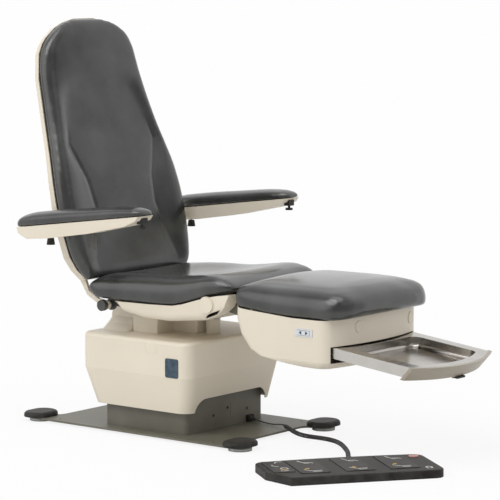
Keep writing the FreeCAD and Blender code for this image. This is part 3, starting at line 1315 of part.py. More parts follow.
leg_level_shares = [
    (0, 0.32, 0.913, 1), (0.014, 0.4, 0.95, 0.61), (0.042, 0.516, 0.973, 0.32),
    (0.085, 0.66, 0.99, 0.11), (0.127, 0.776, 1, 0), (0.226, 0.868, 1, 0), (0.481, 0.958, 1, 0),
    (0.764, 1, 1, 0), (1.05, 1, 1, 0)]


def leg_form(inset):
    """The leg shell's form as level sections from its narrow floor up, smaller by an inset."""
    reach = s.leg_front.value - s.leg_rear.value
    sections = []
    for up, back, wide, drawn in leg_level_shares:
        lift = inset if up == 0 else inset * (up < 1)
        sections.append(bowed_plan(
            s.leg_half_width.value * wide - inset,
            s.leg_front.value - s.leg_front_draw.value * drawn - inset,
            reach * back - s.leg_front.value - inset, s.leg_corner.value - inset,
            s.leg_bow.value - inset, leg_low.value + s.leg_depth.value * up + lift))
    return Part.makeLoft(sections, True, True)


def above_leg_top():
    """Everything above the shell's rim, which follows the underside of the cushion."""
    over = s.over.value
    half = leg_cushion_half.value + over
    rim = [Vector(-half, -s.leg_cushion_rear.value - s.leg_cushion_length.value * along,
                  leg_cushion_low.value + s.leg_cushion_height.value * low - s.cushion_gap.value)
           for along, wide, low, edge, centre in leg_cushion_shares]
    top = leg_low.value + s.leg_depth.value * 2
    points = rim + [Vector(-half, rim[-1].y, top), Vector(-half, rim[0].y, top)]
    return Part.Face(Part.makePolygon(points + points[:1])).extrude(Vector(half * 2, 0, 0))


def build_leg_shell():
    wall = s.leg_wall.value
    sheet_box = carved("leg_shell_sheet", leg_form(0).cut(leg_form(wall)).cut(above_leg_top()))
    mouth = box("tray_mouth", (-mouth_half_width, mouth_half_width),
                (-s.leg_front - s.over, -s.leg_front + s.mouth_depth), (mouth_low, mouth_top))
    slots = both_sides("leg_rail_slot", s.leg_slot_side,
                       s.leg_arm_inside + s.leg_arm_thickness + s.over,
                       (-s.leg_rear - s.leg_slot_depth, -s.leg_rear + s.over),
                       (leg_rail_low - s.slot_side_gap, leg_low + s.leg_depth * 2))
    gap = s.switch_hole_gap
    hole = box("switch_hole", (-s.leg_half_width - s.over, -s.leg_half_width + s.leg_wall + s.over),
               (-switch_forward - s.rocker_length / 2 - gap,
                -switch_forward + s.rocker_length / 2 + gap),
               (switch_height - s.rocker_height / 2 - gap,
                switch_height + s.rocker_height / 2 + gap))
    return cut("leg_shell", sheet_box, mouth, hole, *slots)


def build_leg_board():
    return box("leg_board", (-leg_board_half, leg_board_half),
               (-s.leg_board_front, -s.leg_board_rear),
               (leg_rail_top + s.cushion_gap, leg_cushion_low))


def build_switch_bezel():
    gap = s.rocker_gap
    plate = box("bezel_plate", (-s.leg_half_width - s.bezel_thickness, -s.leg_half_width),
                (-switch_forward - s.bezel_length / 2, -switch_forward + s.bezel_length / 2),
                (switch_height - s.bezel_height / 2, switch_height + s.bezel_height / 2))
    window = box("bezel_window", (-s.leg_half_width - s.bezel_thickness - s.over,
                                  -s.leg_half_width + s.over),
                 (-switch_forward - s.rocker_length / 2 - gap,
                  -switch_forward + s.rocker_length / 2 + gap),
                 (switch_height - s.rocker_height / 2 - gap,
                  switch_height + s.rocker_height / 2 + gap))
    bore = rocker_pin("rocker_bore", s.running_gap, s.rocker_pin_gap)
    return cut("switch_bezel", plate, window, bore)


def rocker_pin(name, extra_radius, extra_length):
    """The rocker's upright pin, or the bore for it in the bezel."""
    reach = s.rocker_height / 2 + s.rocker_gap + s.rocker_pin_bite + extra_length
    return rod(name, s.rocker_pin_radius + extra_radius, "z", switch_height - reach,
               switch_height + reach, -s.leg_half_width - s.bezel_thickness / 2,
               -switch_forward)


def build_rocker():
    rear = -s.leg_half_width
    cap = box("rocker_cap", (rear - s.rocker_thickness, rear),
              (-switch_forward - s.rocker_length / 2, -switch_forward + s.rocker_length / 2),
              (switch_height - s.rocker_height / 2, switch_height + s.rocker_height / 2))
    return fuse("switch_rocker", cap, rocker_pin("rocker_pivot", sized(0), sized(0)))


# Treatment tray on its own slope: a pressed basin between rails, a front panel and its latch


def on_slope(piece):
    """Sets a piece modelled level about the shell's front onto the tray's slope."""
    doc.recompute()
    place = Vector(0, -s.leg_front.value, tray_top.value)
    piece.Placement = FreeCAD.Placement(
        place, FreeCAD.Rotation(Vector(1, 0, 0), s.tray_slope.value)) * piece.Placement
    return piece


def build_runners():
    runner = box("drawer_runner", (-s.leg_half_width + s.leg_wall, -runner_inside),
                 (s.runner_start, s.runner_length), (-s.runner_low, -s.runner_low + s.runner_height))
    return on_slope(pair("drawer_runners", runner))


def bowed_block(half_x, front, rear, corner, bow, low, high):
    face = Part.Face(bowed_plan(half_x, front, rear, corner, bow, low))
    return face.extrude(Vector(0, 0, high - low))


def rounded_floor(block, low, radius):
    """Rounds the level edges at the bottom of a block."""
    edges = [item for item in block.Edges
             if item.BoundBox.ZLength < NEAR and abs(item.BoundBox.ZMin - low) < NEAR]
    return block.makeFillet(radius, edges)


def tray_form(half, ahead, behind_rails):
    """The tray's room under its panel's top: the front bulges and leans back to its foot."""
    levels = []
    for height, lean in ((tray_panel_low.value, s.tray_panel_lean.value),
                         (s.tray_panel_top.value, 0)):
        levels.append(bowed_plan(half.value, s.tray_out.value + ahead - lean,
                                 s.tray_rail_inside.value + behind_rails,
                                 s.tray_panel_edge.value, s.tray_bow.value + ahead, height))
    return Part.makeLoft(levels, True, True)


def build_basin():
    half = tray_half_width.value
    front = s.tray_out.value
    rear = s.tray_inside.value
    flange = s.flange_width.value
    depth = s.bowl_depth.value
    wall = s.bowl_wall.value
    corner = s.bowl_corner.value
    edge = s.bowl_floor_edge.value
    bow = s.tray_bow.value
    over = s.over.value
    sheet_plate = bowed_block(half, front, rear, s.flange_corner.value, bow,
                              -s.flange_thickness.value, 0)
    sheet_plate = sheet_plate.common(tray_form(tray_half_width, 0, s.over.value))
    outside = rounded_floor(bowed_block(half - flange, front - flange, rear - flange, corner,
                                        bow - flange, -depth, 0), -depth, edge)
    inset = flange + wall
    inside = rounded_floor(bowed_block(half - inset, front - inset, rear - inset, corner - wall,
                                       bow - inset, -depth + wall, over), -depth + wall, edge - wall)
    return on_slope(carved("tray_basin", sheet_plate.fuse(outside).cut(inside)))


def build_tray_rails():
    room = tray_form(tray_outside + s.tray_rail_width, 0, s.over.value)
    rail = Part.makeBox(s.tray_rail_width.value, s.tray_out.value + s.tray_rail_inside.value,
                        s.tray_rail_height.value,
                        Vector(tray_half_width.value, -s.tray_out.value, -s.tray_rail_height.value))
    return on_slope(pair("tray_rails", carved("tray_rail", rail.common(room))))


def build_tray_front():
    body = carved("tray_panel", tray_form(tray_panel_half, s.tray_panel_thickness.value, 0).cut(
        tray_form(tray_panel_half + s.tray_rail_width, 0, s.over.value)))
    ears = both_sides("latch_ear", s.latch_ear_inside, s.latch_ear_inside + s.latch_ear_width,
                      (-latch_rear - s.latch_ear_width, -latch_rear + s.latch_ear_width),
                      (-latch_high - s.latch_height, tray_panel_low + s.over))
    bore = rod("latch_bore", s.latch_pin_radius + s.running_gap, "x",
               -s.latch_ear_inside - s.latch_ear_width - s.over,
               s.latch_ear_inside + s.latch_ear_width + s.over, -latch_pin_back, latch_pin_high)
    return on_slope(cut("tray_front", fuse("tray_front_solid", body, *ears), bore))


def build_latch():
    low = -latch_high - s.latch_height
    tab = box("latch_tab", (-s.latch_half_width, s.latch_half_width),
              (-latch_rear - s.latch_length, -latch_rear), (low, -latch_high))
    reach = s.latch_ear_inside + s.latch_ear_width
    pin = rod("latch_pin", s.latch_pin_radius, "x", -reach, reach, -latch_pin_back, latch_pin_high)
    return on_slope(fuse("tray_latch", tab, pin))


# Foot control that lies on the floor, turned to the side where its user stands


def on_floor(piece):
    """Sets a piece modelled square about the foot control's middle to its place on the floor."""
    doc.recompute()
    place = Vector(-s.pedal_across.value, -s.pedal_forward.value, 0)
    piece.Placement = FreeCAD.Placement(
        place, FreeCAD.Rotation(Vector(0, 0, 1), -s.pedal_turn.value)) * piece.Placement
    return piece


def key_plan():
    """Middle along, middle across, half length along and half length across of each key."""
    places = [("foot_key_program", -s.side_key_across, s.side_key_shift, s.side_key_width / 2,
               s.side_key_length / 2)]
    for number in range(3):
        places.append((f"foot_key_{number + 1}", s.key_pitch * number - s.key_first,
                       s.key_rear_shift, s.key_width / 2, s.key_length / 2))
    return places


def build_foot_housing():
    half = s.pedal_length.value / 2
    wide = s.pedal_width.value / 2
    bow = s.pedal_bow.value
    corner = s.pedal_corner.value
    lead_in = s.pedal_chamfer_length.value
    lead_up = s.pedal_chamfer_width.value
    bend = corner * (1 - math.sqrt(0.5))

    def at(u, v):
        return Vector(u, v, 0)

    outline = Part.Wire([
        line(at(-half + lead_in, -wide), at(half - corner, -wide)),
        arc(at(half - corner, -wide), at(half - bend, -wide + bend), at(half, -wide + corner)),
        line(at(half, -wide + corner), at(half, wide - corner)),
        arc(at(half, wide - corner), at(half - bend, wide - bend), at(half - corner, wide)),
        arc(at(half - corner, wide), at(0, wide + bow), at(-half + corner, wide)),
        arc(at(-half + corner, wide), at(-half + bend, wide - bend), at(-half, wide - corner)),
        line(at(-half, wide - corner), at(-half, -wide + lead_up)),
        line(at(-half, -wide + lead_up), at(-half + lead_in, -wide))])
    height = s.pedal_height.value
    housing = Part.Face(outline).extrude(Vector(0, 0, height))
    rim = [item for item in housing.Edges
           if item.BoundBox.ZLength < NEAR and abs(item.BoundBox.ZMin - height) < NEAR]
    housing = housing.makeFillet(s.pedal_edge.value, rim)
    gap = s.key_gap.value
    floor = s.key_floor.value
    for name, along, across, half_along, half_across in key_plan():
        housing = housing.cut(Part.makeBox(
            (half_along.value + gap) * 2, (half_across.value + gap) * 2, height,
            Vector(along.value - half_along.value - gap, across.value - half_across.value - gap,
                   floor)))
    housing = housing.cut(Part.makeCylinder(
        s.stop_radius.value + s.stop_gap.value, height,
        Vector(s.stop_along.value, s.stop_rear.value, floor)))
    gland = Part.makeCylinder(
        s.gland_radius.value, s.gland_end.value - s.gland_start.value,
        Vector(s.gland_along.value, s.gland_start.value, s.gland_height.value), Vector(0, 1, 0))
    return on_floor(carved("foot_control_housing", housing.fuse(gland)))


def build_foot_key(name, along, across, half_along, half_across):
    corners = [(along + half_along * u, across + half_across * v)
               for u, v in ((-1, -1), (1, -1), (1, 1), (-1, 1))]
    body = slab(name + "_body", "XY_Plane", corners, s.key_lift, s.key_lift + s.key_thickness)
    round_edges(body, s.key_corner, upright, name + "_corners")
    rib = rod(name + "_rib", s.key_rib, "x", along - half_along + s.key_corner,
              along + half_along - s.key_corner, across, s.key_floor + s.key_rib + s.running_gap)
    return on_floor(fuse(name, body, rib))


def build_stop_button():
    cap = rod("stop_cap", s.stop_radius, "z", s.stop_low, s.stop_top, s.stop_along, s.stop_rear)
    return on_floor(group("foot_stop_button", cap))


# Cord from the socket on the tower to the foot control: a plug, a straight lead and a curled run

lead_route = [(150, -263, 31), (147, -290, 26), (143, -330, 22), (132, -378, 24), (120, -415, 31),
              (107, -440, 34)]

coil_route = [(107, -440, 34), (92, -480, 26), (80, -520, 16), (74, -560, 10.5), (70, -604, 10.5),
              (73, -650, 10.5), (69, -700, 10.5), (48, -753, 10.5), (6, -806, 10.5),
              (-45, -858, 10.5), (-92, -902, 10.5), (-140, -938, 10.5), (-188, -975, 12.5),
              (-216.5, -1012.7, 14)]


def cord_tube(name, route, radius):
    """A round tube along straight runs joined by tangent arcs, each as large as its runs allow."""
    points = [Vector(*point) for point in route]
    edges = []
    start = points[0]
    radii = []
    for before, corner, after in zip(points, points[1:], points[2:]):
        into = (corner - before).normalize()
        out = (after - corner).normalize()
        run = min(before.distanceToPoint(corner), corner.distanceToPoint(after))
        tangent = run * s.bend_share.value
        half_turn = into.getAngle(out) / 2
        radii.append(tangent / math.tan(half_turn))
        first = corner - into * tangent
        last = corner + out * tangent
        inward = (out - into).normalize()
        sagitta = radii[-1] * (1 / math.cos(half_turn) - 1)
        edges.append(line(start, first))
        edges.append(arc(first, corner + inward * sagitta, last))
        start = last
    edges.append(line(start, points[-1]))
    path = Part.Wire(edges)
    facing = points[1] - points[0]
    section = Part.Wire(Part.makeCircle(radius.value, points[0], facing))
    tube = path.makePipeShell([section], True, False)
    expected = math.pi * radius.value ** 2 * path.Length
    print(name, "length", round(path.Length), "least bend", round(min(radii)),
          "volume share", round(tube.Volume / expected, 4))
    return carved(name, tube)


def build_plug():
    return rod("cord_plug", s.plug_radius, "y", -s.tower_front - s.socket_depth - s.plug_length,
               -s.tower_front - s.socket_depth, s.socket_across, s.plug_height)


node("base_plate", build_base_plate())
node("corner_pads", build_corner_pad())
node("levelling_glides", build_glides())
node("tower_cover", build_tower())
node("tower_screws", build_tower_screws())
node("power_inlet", build_power_inlet())
node("cord_socket", build_cord_socket())
node("control_box", build_control_box())
node("lift_drive", build_lift_drive())
node("column_outer", square_tube("column_outer", s.outer_tube_half, plate_top, s.outer_tube_top))
node("column_middle", square_tube("column_middle", middle_tube_half, s.middle_tube_low,
                                  s.cover_top))
node("inner_cover", build_inner_cover())
node("lift_head", build_lift_head())
node("tilt_axle", build_tilt_axle())
node("tilt_ram", build_tilt_ram())
node("tilt_rod", build_tilt_rod())
node("shroud", build_shroud())
node("badge_plate", build_badge())
node("pedestal_cover", group("pedestal_cover", build_neck(), build_pedestal_block()))

node("seat_frame", build_seat_frame())
node("seat_pan", build_seat_pan())
node("seat_caps", build_seat_caps())
node("seat_cushion", build_seat_cushion())
node("leg_axle", build_leg_axle())
back_motor_front = -s.back_motor_rear - s.back_motor_length
node("back_motor", build_drive("back_motor", s.back_motor_radius, back_drive_across,
                               back_motor_front, -s.back_motor_rear, back_drive_height))
leg_motor_front = -s.leg_motor_rear - s.leg_motor_length
node("leg_motor", build_drive("leg_motor", s.leg_motor_radius, leg_drive_across,
                              leg_motor_front, -s.leg_motor_rear, leg_pin_high))
node("back_rod", build_back_rod())
node("leg_rod", build_leg_rod())

node("back_axle", build_back_axle())
node("back_frame", build_back_frame())
node("back_shell", build_back_shell())
node("back_cushion", build_back_cushion())

arm_pieces = [("arm_shell", build_arm_shell()), ("arm_pad", build_arm_pad())]
arm_pieces.append(("arm_bracket", build_arm_bracket(arm_pieces[0][1])))
arm_pieces.append(("arm_knob", build_arm_knob()))
for kind, piece in arm_pieces:
    node(kind + "_left", piece)
    node(kind + "_right", mirrored(kind + "_right", piece))

node("leg_frame", build_leg_frame())
node("leg_shell", build_leg_shell())
node("leg_board", build_leg_board())
node("leg_cushion", build_leg_cushion())
node("switch_bezel", build_switch_bezel())
node("switch_rocker", build_rocker())
node("drawer_runners", build_runners())
node("tray_basin", build_basin())
node("tray_rails", build_tray_rails())
node("tray_front", build_tray_front())
node("tray_latch", build_latch())

node("foot_control_housing", build_foot_housing())
for key in key_plan():
    node(key[0], build_foot_key(*key))
node("foot_stop_button", build_stop_button())
node("cord_plug", build_plug())
node("cord_lead", cord_tube("cord_lead", lead_route, s.lead_radius))
node("cord_coil", cord_tube("cord_coil", coil_route, s.coil_radius))

doc.recompute()
failed = [item.Name for item in doc.Objects if {"Invalid", "Error"} & set(item.State)]
if failed:
    raise RuntimeError("objects that did not build: " + ", ".join(failed))
for name, piece in NODES.items():
    if piece.Shape.isNull() or not piece.Shape.isValid():
        raise RuntimeError("no valid shape: " + name)

os.makedirs("parts", exist_ok=True)
for name, piece in NODES.items():
    piece.Label = name
    if piece.Label != name:
        raise RuntimeError("label already taken: " + name)
    piece.Shape.exportStep(f"parts/{name}.step")
print(len(NODES), "pieces written")
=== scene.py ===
# %% [markdown]
# # A treatment chair for foot care
# The chair's working parts come in as a fixed frame: every casting, tube and shell is already at
# its real size and place, in metres, with +Z up and the legs pointing to -Y. This lesson gives
# those parts their finishes, and models what is soft or fine: the padded cushions, the curled
# cord, the trims and the markings. The frame is loaded first, because every piece below takes its
# place from it.

# %% Load the frame
import math

import bmesh
import bpy
import numpy
from mathutils import Matrix, Vector
from mathutils.bvhtree import BVHTree


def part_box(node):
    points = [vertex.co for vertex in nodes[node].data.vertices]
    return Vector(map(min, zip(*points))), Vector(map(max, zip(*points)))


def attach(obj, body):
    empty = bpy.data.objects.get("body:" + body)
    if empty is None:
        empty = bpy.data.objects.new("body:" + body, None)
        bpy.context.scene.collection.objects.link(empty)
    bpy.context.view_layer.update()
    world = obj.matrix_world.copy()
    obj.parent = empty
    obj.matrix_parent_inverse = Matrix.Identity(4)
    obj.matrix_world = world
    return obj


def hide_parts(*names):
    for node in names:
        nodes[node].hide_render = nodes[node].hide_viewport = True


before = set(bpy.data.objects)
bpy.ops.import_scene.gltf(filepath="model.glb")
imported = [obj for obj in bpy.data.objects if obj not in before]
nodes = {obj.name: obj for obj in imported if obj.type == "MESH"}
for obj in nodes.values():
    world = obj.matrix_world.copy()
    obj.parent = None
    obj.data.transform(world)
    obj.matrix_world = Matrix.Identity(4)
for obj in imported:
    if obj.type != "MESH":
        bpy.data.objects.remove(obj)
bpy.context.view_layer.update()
scene = bpy.context.scene
MM = 0.001

# %% [markdown]
# ## The camera
# A long lens far away keeps the chair's lines nearly parallel, as a catalogue picture does. The
# place and the two angles are those from which the four corner feet fall where the picture shows
# them.

# %% Camera
CAMERA_PLACE = Vector((-7.6911, -6.3847, 1.8761))
CAMERA_AZIMUTH = math.radians(-51.9109)
CAMERA_ELEVATION = math.radians(6.6445)
LENS_MM = 180
SENSOR_MM = 36

camera_data = bpy.data.cameras.new("camera")
camera_data.lens = LENS_MM
camera_data.sensor_width = SENSOR_MM
camera_data.clip_end = 300
camera = bpy.data.objects.new("camera", camera_data)
scene.collection.objects.link(camera)
camera.location = CAMERA_PLACE
towards_camera = Vector((math.sin(CAMERA_AZIMUTH) * math.cos(CAMERA_ELEVATION),
                         -math.cos(CAMERA_AZIMUTH) * math.cos(CAMERA_ELEVATION),
                         math.sin(CAMERA_ELEVATION)))
camera.rotation_mode = "QUATERNION"
camera.rotation_quaternion = (-towards_camera).to_track_quat("-Z", "Y")
scene.camera = camera
print("camera:", LENS_MM, "mm lens,", round(CAMERA_PLACE.length, 2), "m away")

# %% [markdown]
# ## Finishes
# Every finish is a small node tree on Object coordinates, so its grain stays on the piece at one
# real scale. `painted` makes the common part: a base colour that drifts a little, a roughness that
# drifts with it, a fine grain as bump, and optionally a bevelled normal so that sharp sheet edges
# catch light. Doing it with one function keeps the grain sizes comparable between finishes.

# %% A helper for node trees, and the common finish


def srgb(red, green, blue):
    """A screen colour from 0 to 255 as linear values."""
    def linear(value):
        value /= 255
        return value / 12.92 if value <= 0.04045 else ((value + 0.055) / 1.055) ** 2.4
    return linear(red), linear(green), linear(blue), 1.0


def mixed(colour, share, other=(0, 0, 0, 1)):
    """A colour moved part of the way towards another."""
    return tuple(a + (b - a) * share for a, b in zip(colour, other))


class Tree:
    """A material's node tree with short ways to add and join nodes."""

    def __init__(self, name):
        self.material = bpy.data.materials.new(name)
        self.material.use_nodes = True
        self.nodes = self.material.node_tree.nodes
        self.shader = self.nodes["Principled BSDF"]
        self.place = self.add("ShaderNodeTexCoord").outputs["Object"]

    def add(self, kind, **settings):
        node = self.nodes.new(kind)
        for name, value in settings.items():
            setattr(node, name, value)
        return node

    def join(self, source, node, socket):
        self.material.node_tree.links.new(source, node.inputs[socket])

    def noise(self, size, detail=2.0, stretch=(1, 1, 1)):
        """A noise whose blots are about size metres wide."""
        mapping = self.add("ShaderNodeMapping")
        mapping.inputs["Scale"].default_value = [1 / (size * part) for part in stretch]
        self.join(self.place, mapping, "Vector")
        noise = self.add("ShaderNodeTexNoise")
        noise.inputs["Scale"].default_value = 1.0
        noise.inputs["Detail"].default_value = detail
        self.join(mapping.outputs["Vector"], noise, "Vector")
        return noise.outputs["Fac"]

    def ramp(self, source, low, high):
        """A colour that goes from low to high with a value around its middle."""
        ramp = self.add("ShaderNodeValToRGB")
        ramp.color_ramp.elements[0].position = 0.3
        ramp.color_ramp.elements[1].position = 0.7
        ramp.color_ramp.elements[0].color = low
        ramp.color_ramp.elements[1].color = high
        self.join(source, ramp, "Fac")
        return ramp.outputs["Color"]

    def spread(self, source, low, high):
        """A value around a half spread to run from low to high."""
        spread = self.add("ShaderNodeMapRange")
        spread.inputs["From Min"].default_value = 0.3
        spread.inputs["From Max"].default_value = 0.7
        spread.inputs["To Min"].default_value = low
        spread.inputs["To Max"].default_value = high
        self.join(source, spread, "Value")
        return spread.outputs["Result"]

    def bump(self, source, depth, strength=1.0, under=None):
        """A bump of a depth in metres, laid over the normal that is given."""
        bump = self.add("ShaderNodeBump")
        bump.inputs["Distance"].default_value = depth
        bump.inputs["Strength"].default_value = strength
        self.join(source, bump, "Height")
        if under is not None:
            self.join(under, bump, "Normal")
        return bump.outputs["Normal"]

    def bevel(self, radius):
        """A normal that is rounded near the piece's sharp edges."""
        bevel = self.add("ShaderNodeBevel", samples=6)
        bevel.inputs["Radius"].default_value = radius
        return bevel.outputs["Normal"]


def painted(name, colour, roughness, drift=0.05, blot=0.12, grain=0.0006, depth=0.00004,
            edge=0.0012, metallic=0.0, stretch=(1, 1, 1), gloss=0.5):
    """A finish with drifting colour and roughness, a fine grain and softly lit edges."""
    tree = Tree(name)
    wide = tree.noise(blot, 3.0)
    tree.join(tree.ramp(wide, mixed(colour, drift), mixed(colour, drift, (1, 1, 1, 1))),
              tree.shader, "Base Color")
    tree.join(tree.spread(wide, roughness * 0.92, roughness * 1.08), tree.shader, "Roughness")
    under = tree.bevel(edge) if edge else None
    fine = tree.noise(grain, 2.0, stretch)
    tree.join(tree.bump(fine, depth, 1.0, under), tree.shader, "Normal")
    tree.shader.inputs["Metallic"].default_value = metallic
    tree.shader.inputs["Specular IOR Level"].default_value = gloss
    return tree.material


# %% [markdown]
# ## The finishes of this chair
# The moulded shells are warm cream plastic with a satin skin, the tower and the plate are a
# grey-green baked paint with a fine orange peel, the feet and the foot control a dark pebbled
# plastic, and the tray brushed stainless steel. Steel takes its streaks from a noise that is
# stretched along the way it was brushed.

# %% Finishes
CREAM = srgb(226, 216, 198)
CHARCOAL = srgb(42, 44, 41)

cream = painted("cream_plastic", CREAM, 0.42, drift=0.03, blot=0.25, grain=0.0011, depth=0.00003,
                edge=0.0015)
tower_paint = painted("grey_green_paint", srgb(101, 98, 85), 0.46, drift=0.05, blot=0.16,
                      grain=0.0009, depth=0.00005, gloss=0.4)
dark_plastic = painted("dark_plastic", srgb(34, 32, 29), 0.52, drift=0.03, blot=0.05, grain=0.0008,
                       depth=0.00009, gloss=0.2)
key_plastic = painted("key_plastic", srgb(34, 31, 28), 0.5, drift=0.05, blot=0.06, grain=0.0007,
                      depth=0.00006, gloss=0.2)
frame_paint = painted("frame_paint", srgb(58, 58, 57), 0.4, drift=0.06, blot=0.08, grain=0.0008)
soft_grey = painted("soft_grey", srgb(216, 219, 222), 0.5, drift=0.02, blot=0.02)
panel_grey = painted("champagne_panel", srgb(156, 146, 130), 0.36, drift=0.04, blot=0.12)
badge_blue = painted("badge_blue", srgb(24, 56, 76), 0.25, drift=0.05, blot=0.02, depth=0.00001)
stop_pink = painted("stop_pink", srgb(206, 146, 140), 0.45, drift=0.03, blot=0.01)
jacket = painted("cable_jacket", srgb(40, 39, 38), 0.5, drift=0.08, blot=0.02, edge=0)
brushed = painted("brushed_steel", srgb(176, 171, 164), 0.2, drift=0.1, blot=0.08, grain=0.0007,
                  depth=0.00003, metallic=1.0, stretch=(1, 60, 1))
rail_metal = painted("bright_rail", srgb(196, 193, 188), 0.26, drift=0.03, blot=0.05, grain=0.0006,
                     depth=0.00002, metallic=1.0, stretch=(1, 60, 1))
zinc = painted("zinc_steel", srgb(170, 171, 170), 0.34, drift=0.1, blot=0.012, grain=0.0006,
               metallic=1.0)


def dress(finish, *names):
    """Gives a finish to nodes of the frame."""
    for name in names:
        data = nodes[name].data
        data.materials.clear()
        data.materials.append(finish)


dress(cream, "shroud", "pedestal_cover", "seat_pan", "seat_caps", "back_shell", "leg_shell",
      "arm_shell_left", "arm_shell_right", "drawer_runners", "tilt_ram", "back_frame")
dress(tower_paint, "base_plate", "tower_cover", "inner_cover", "leg_frame")
dress(dark_plastic, "corner_pads", "power_inlet", "cord_socket", "control_box", "back_motor",
      "leg_motor", "leg_board", "arm_bracket_left", "arm_bracket_right", "arm_knob_left",
      "arm_knob_right", "tray_latch", "foot_control_housing", "tower_screws")
dress(key_plastic, "foot_key_program", "foot_key_1", "foot_key_2", "foot_key_3")
dress(frame_paint, "lift_head", "seat_frame", "back_axle")
dress(zinc, "levelling_glides", "lift_drive", "column_outer", "column_middle", "tilt_axle",
      "tilt_rod", "leg_axle", "back_rod", "leg_rod")
dress(brushed, "tray_basin")
dress(rail_metal, "tray_rails")
dress(panel_grey, "tray_front")
dress(soft_grey, "switch_rocker", "switch_bezel")
dress(badge_blue, "badge_plate")
dress(stop_pink, "foot_stop_button")
dress(jacket, "cord_plug")
print("finishes:", len(bpy.data.materials))

# %% [markdown]
# ## The cord
# A lead leaves the socket on the tower, sags to the floor's level and turns into a curled cord
# that runs along the floor to the foot control. Both follow one given route. The straight
# lead is a NURBS curve on the route's own points. The curled stretch is a single wire wound round
# the route's smooth line: a coil made as a loop of points, because a curled cord is one length of
# wire and not a row of rings.

# %% The routes and the straight lead
LEAD_ROUTE = [(0.150, -0.263, 0.031), (0.147, -0.290, 0.026), (0.143, -0.330, 0.022),
              (0.132, -0.378, 0.024), (0.120, -0.415, 0.031), (0.107, -0.440, 0.034)]
COIL_ROUTE = [(0.107, -0.440, 0.034), (0.092, -0.480, 0.026), (0.080, -0.520, 0.016),
              (0.074, -0.560, 0.0105), (0.070, -0.604, 0.0105), (0.073, -0.650, 0.0105),
              (0.069, -0.700, 0.0105), (0.048, -0.753, 0.0105), (0.006, -0.806, 0.0105),
              (-0.045, -0.858, 0.0105), (-0.092, -0.902, 0.0105), (-0.140, -0.938, 0.0105),
              (-0.188, -0.975, 0.0125), (-0.2165, -1.0127, 0.014)]
WIRE_RADIUS = 2.7 * MM
CURL_RADIUS = 6.8 * MM
CURL_PITCH = 7.8 * MM
CURL_POINTS = 12
END_RUN = 14 * MM


def add_object(name, data, *finishes):
    """A new object at the origin with its finishes."""
    piece = bpy.data.objects.new(name, data)
    scene.collection.objects.link(piece)
    for finish in finishes:
        piece.data.materials.append(finish)
    return piece


def nurbs(name, points, radius, smooth=8):
    """A round wire along a NURBS spline whose control points are the points given."""
    curve = bpy.data.curves.new(name, "CURVE")
    curve.dimensions = "3D"
    spline = curve.splines.new("NURBS")
    spline.points.add(len(points) - 1)
    for target, point in zip(spline.points, points):
        target.co = (*point, 1.0)
    spline.order_u = 3
    spline.use_endpoint_u = True
    spline.resolution_u = smooth
    curve.bevel_depth = radius
    curve.bevel_resolution = 3
    curve.use_fill_caps = True
    return curve


def line_of(points):
    """Close points along the smooth line that the control points give."""
    bare = nurbs("route_line", points, 0.0, 24)
    bare.bevel_depth = 0.0
    holder = bpy.data.objects.new("route_line", bare)
    scene.collection.objects.link(holder)
    bpy.context.view_layer.update()
    graph = bpy.context.evaluated_depsgraph_get()
    mesh = bpy.data.meshes.new_from_object(holder.evaluated_get(graph))
    line = [vertex.co.copy() for vertex in mesh.vertices]
    bpy.data.objects.remove(holder)
    bpy.data.meshes.remove(mesh)
    bpy.data.curves.remove(bare)
    return line


def length_of(points):
    """Length of the straight runs through points."""
    return sum((b - a).length for a, b in zip(points, points[1:]))


lead = add_object("lead_wire", nurbs("lead_wire", LEAD_ROUTE, WIRE_RADIUS), jacket)
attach(lead, "base")
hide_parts("cord_lead")
lead_length = length_of(line_of(LEAD_ROUTE))
print("lead:", round(lead_length, 3), "m")

# %% The curled stretch as one wound wire


def wound(line, radius, pitch, per_turn, end_run):
    """Points of a wire that starts on the line, winds round it and ends on it."""
    total = length_of(line)
    turns = round((total - 2 * end_run) / pitch)
    steps = turns * per_turn
    frames = []
    travelled, index = 0.0, 0
    for step in range(steps + 1):
        target = end_run + (total - 2 * end_run) * step / steps
        while index < len(line) - 2 and travelled + (line[index + 1] - line[index]).length < target:
            travelled += (line[index + 1] - line[index]).length
            index += 1
        run = line[index + 1] - line[index]
        place = line[index] + run.normalized() * (target - travelled)
        frames.append((place, run.normalized()))
    points = [line[0], line[0] + (line[1] - line[0]).normalized() * (end_run / 2)]
    lead_in = per_turn
    for step, (place, along) in enumerate(frames):
        side = along.cross(Vector((0, 0, 1))).normalized()
        up = side.cross(along).normalized()
        grown = radius * min(1.0, step / lead_in, (steps - step) / lead_in)
        turn = 2 * math.pi * step / per_turn
        points.append(place + side * (grown * math.cos(turn)) + up * (grown * math.sin(turn)))
    points.append(line[-1] + (line[-2] - line[-1]).normalized() * (end_run / 2))
    points.append(line[-1])
    return points, turns


coil_line = line_of(COIL_ROUTE)
coil_points, curls = wound(coil_line, CURL_RADIUS, CURL_PITCH, CURL_POINTS, END_RUN)
coil = add_object("curled_wire", nurbs("curled_wire", coil_points, WIRE_RADIUS, 2), jacket)
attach(coil, "base")
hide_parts("cord_coil")
coil_length = length_of(line_of(coil_points))
print("curled stretch:", curls, "curls,", round(length_of(coil_line), 3), "m long,",
      round(coil_length, 3), "m of wire")

# %% [markdown]
# ## Padding
# The five cushions are foam on boards under a stretched, seamless vinyl. Each starts as a closed
# form through sections along its length, a little slimmer than the finished pad. The form is
# remeshed to even squares and then blown up with a cloth simulation, so that the vinyl swells
# between the places where it is held, and a limit on the travel keeps the pad in the space that
# its board allows. Folds are pressed in afterwards, and one subdivision makes the skin smooth.

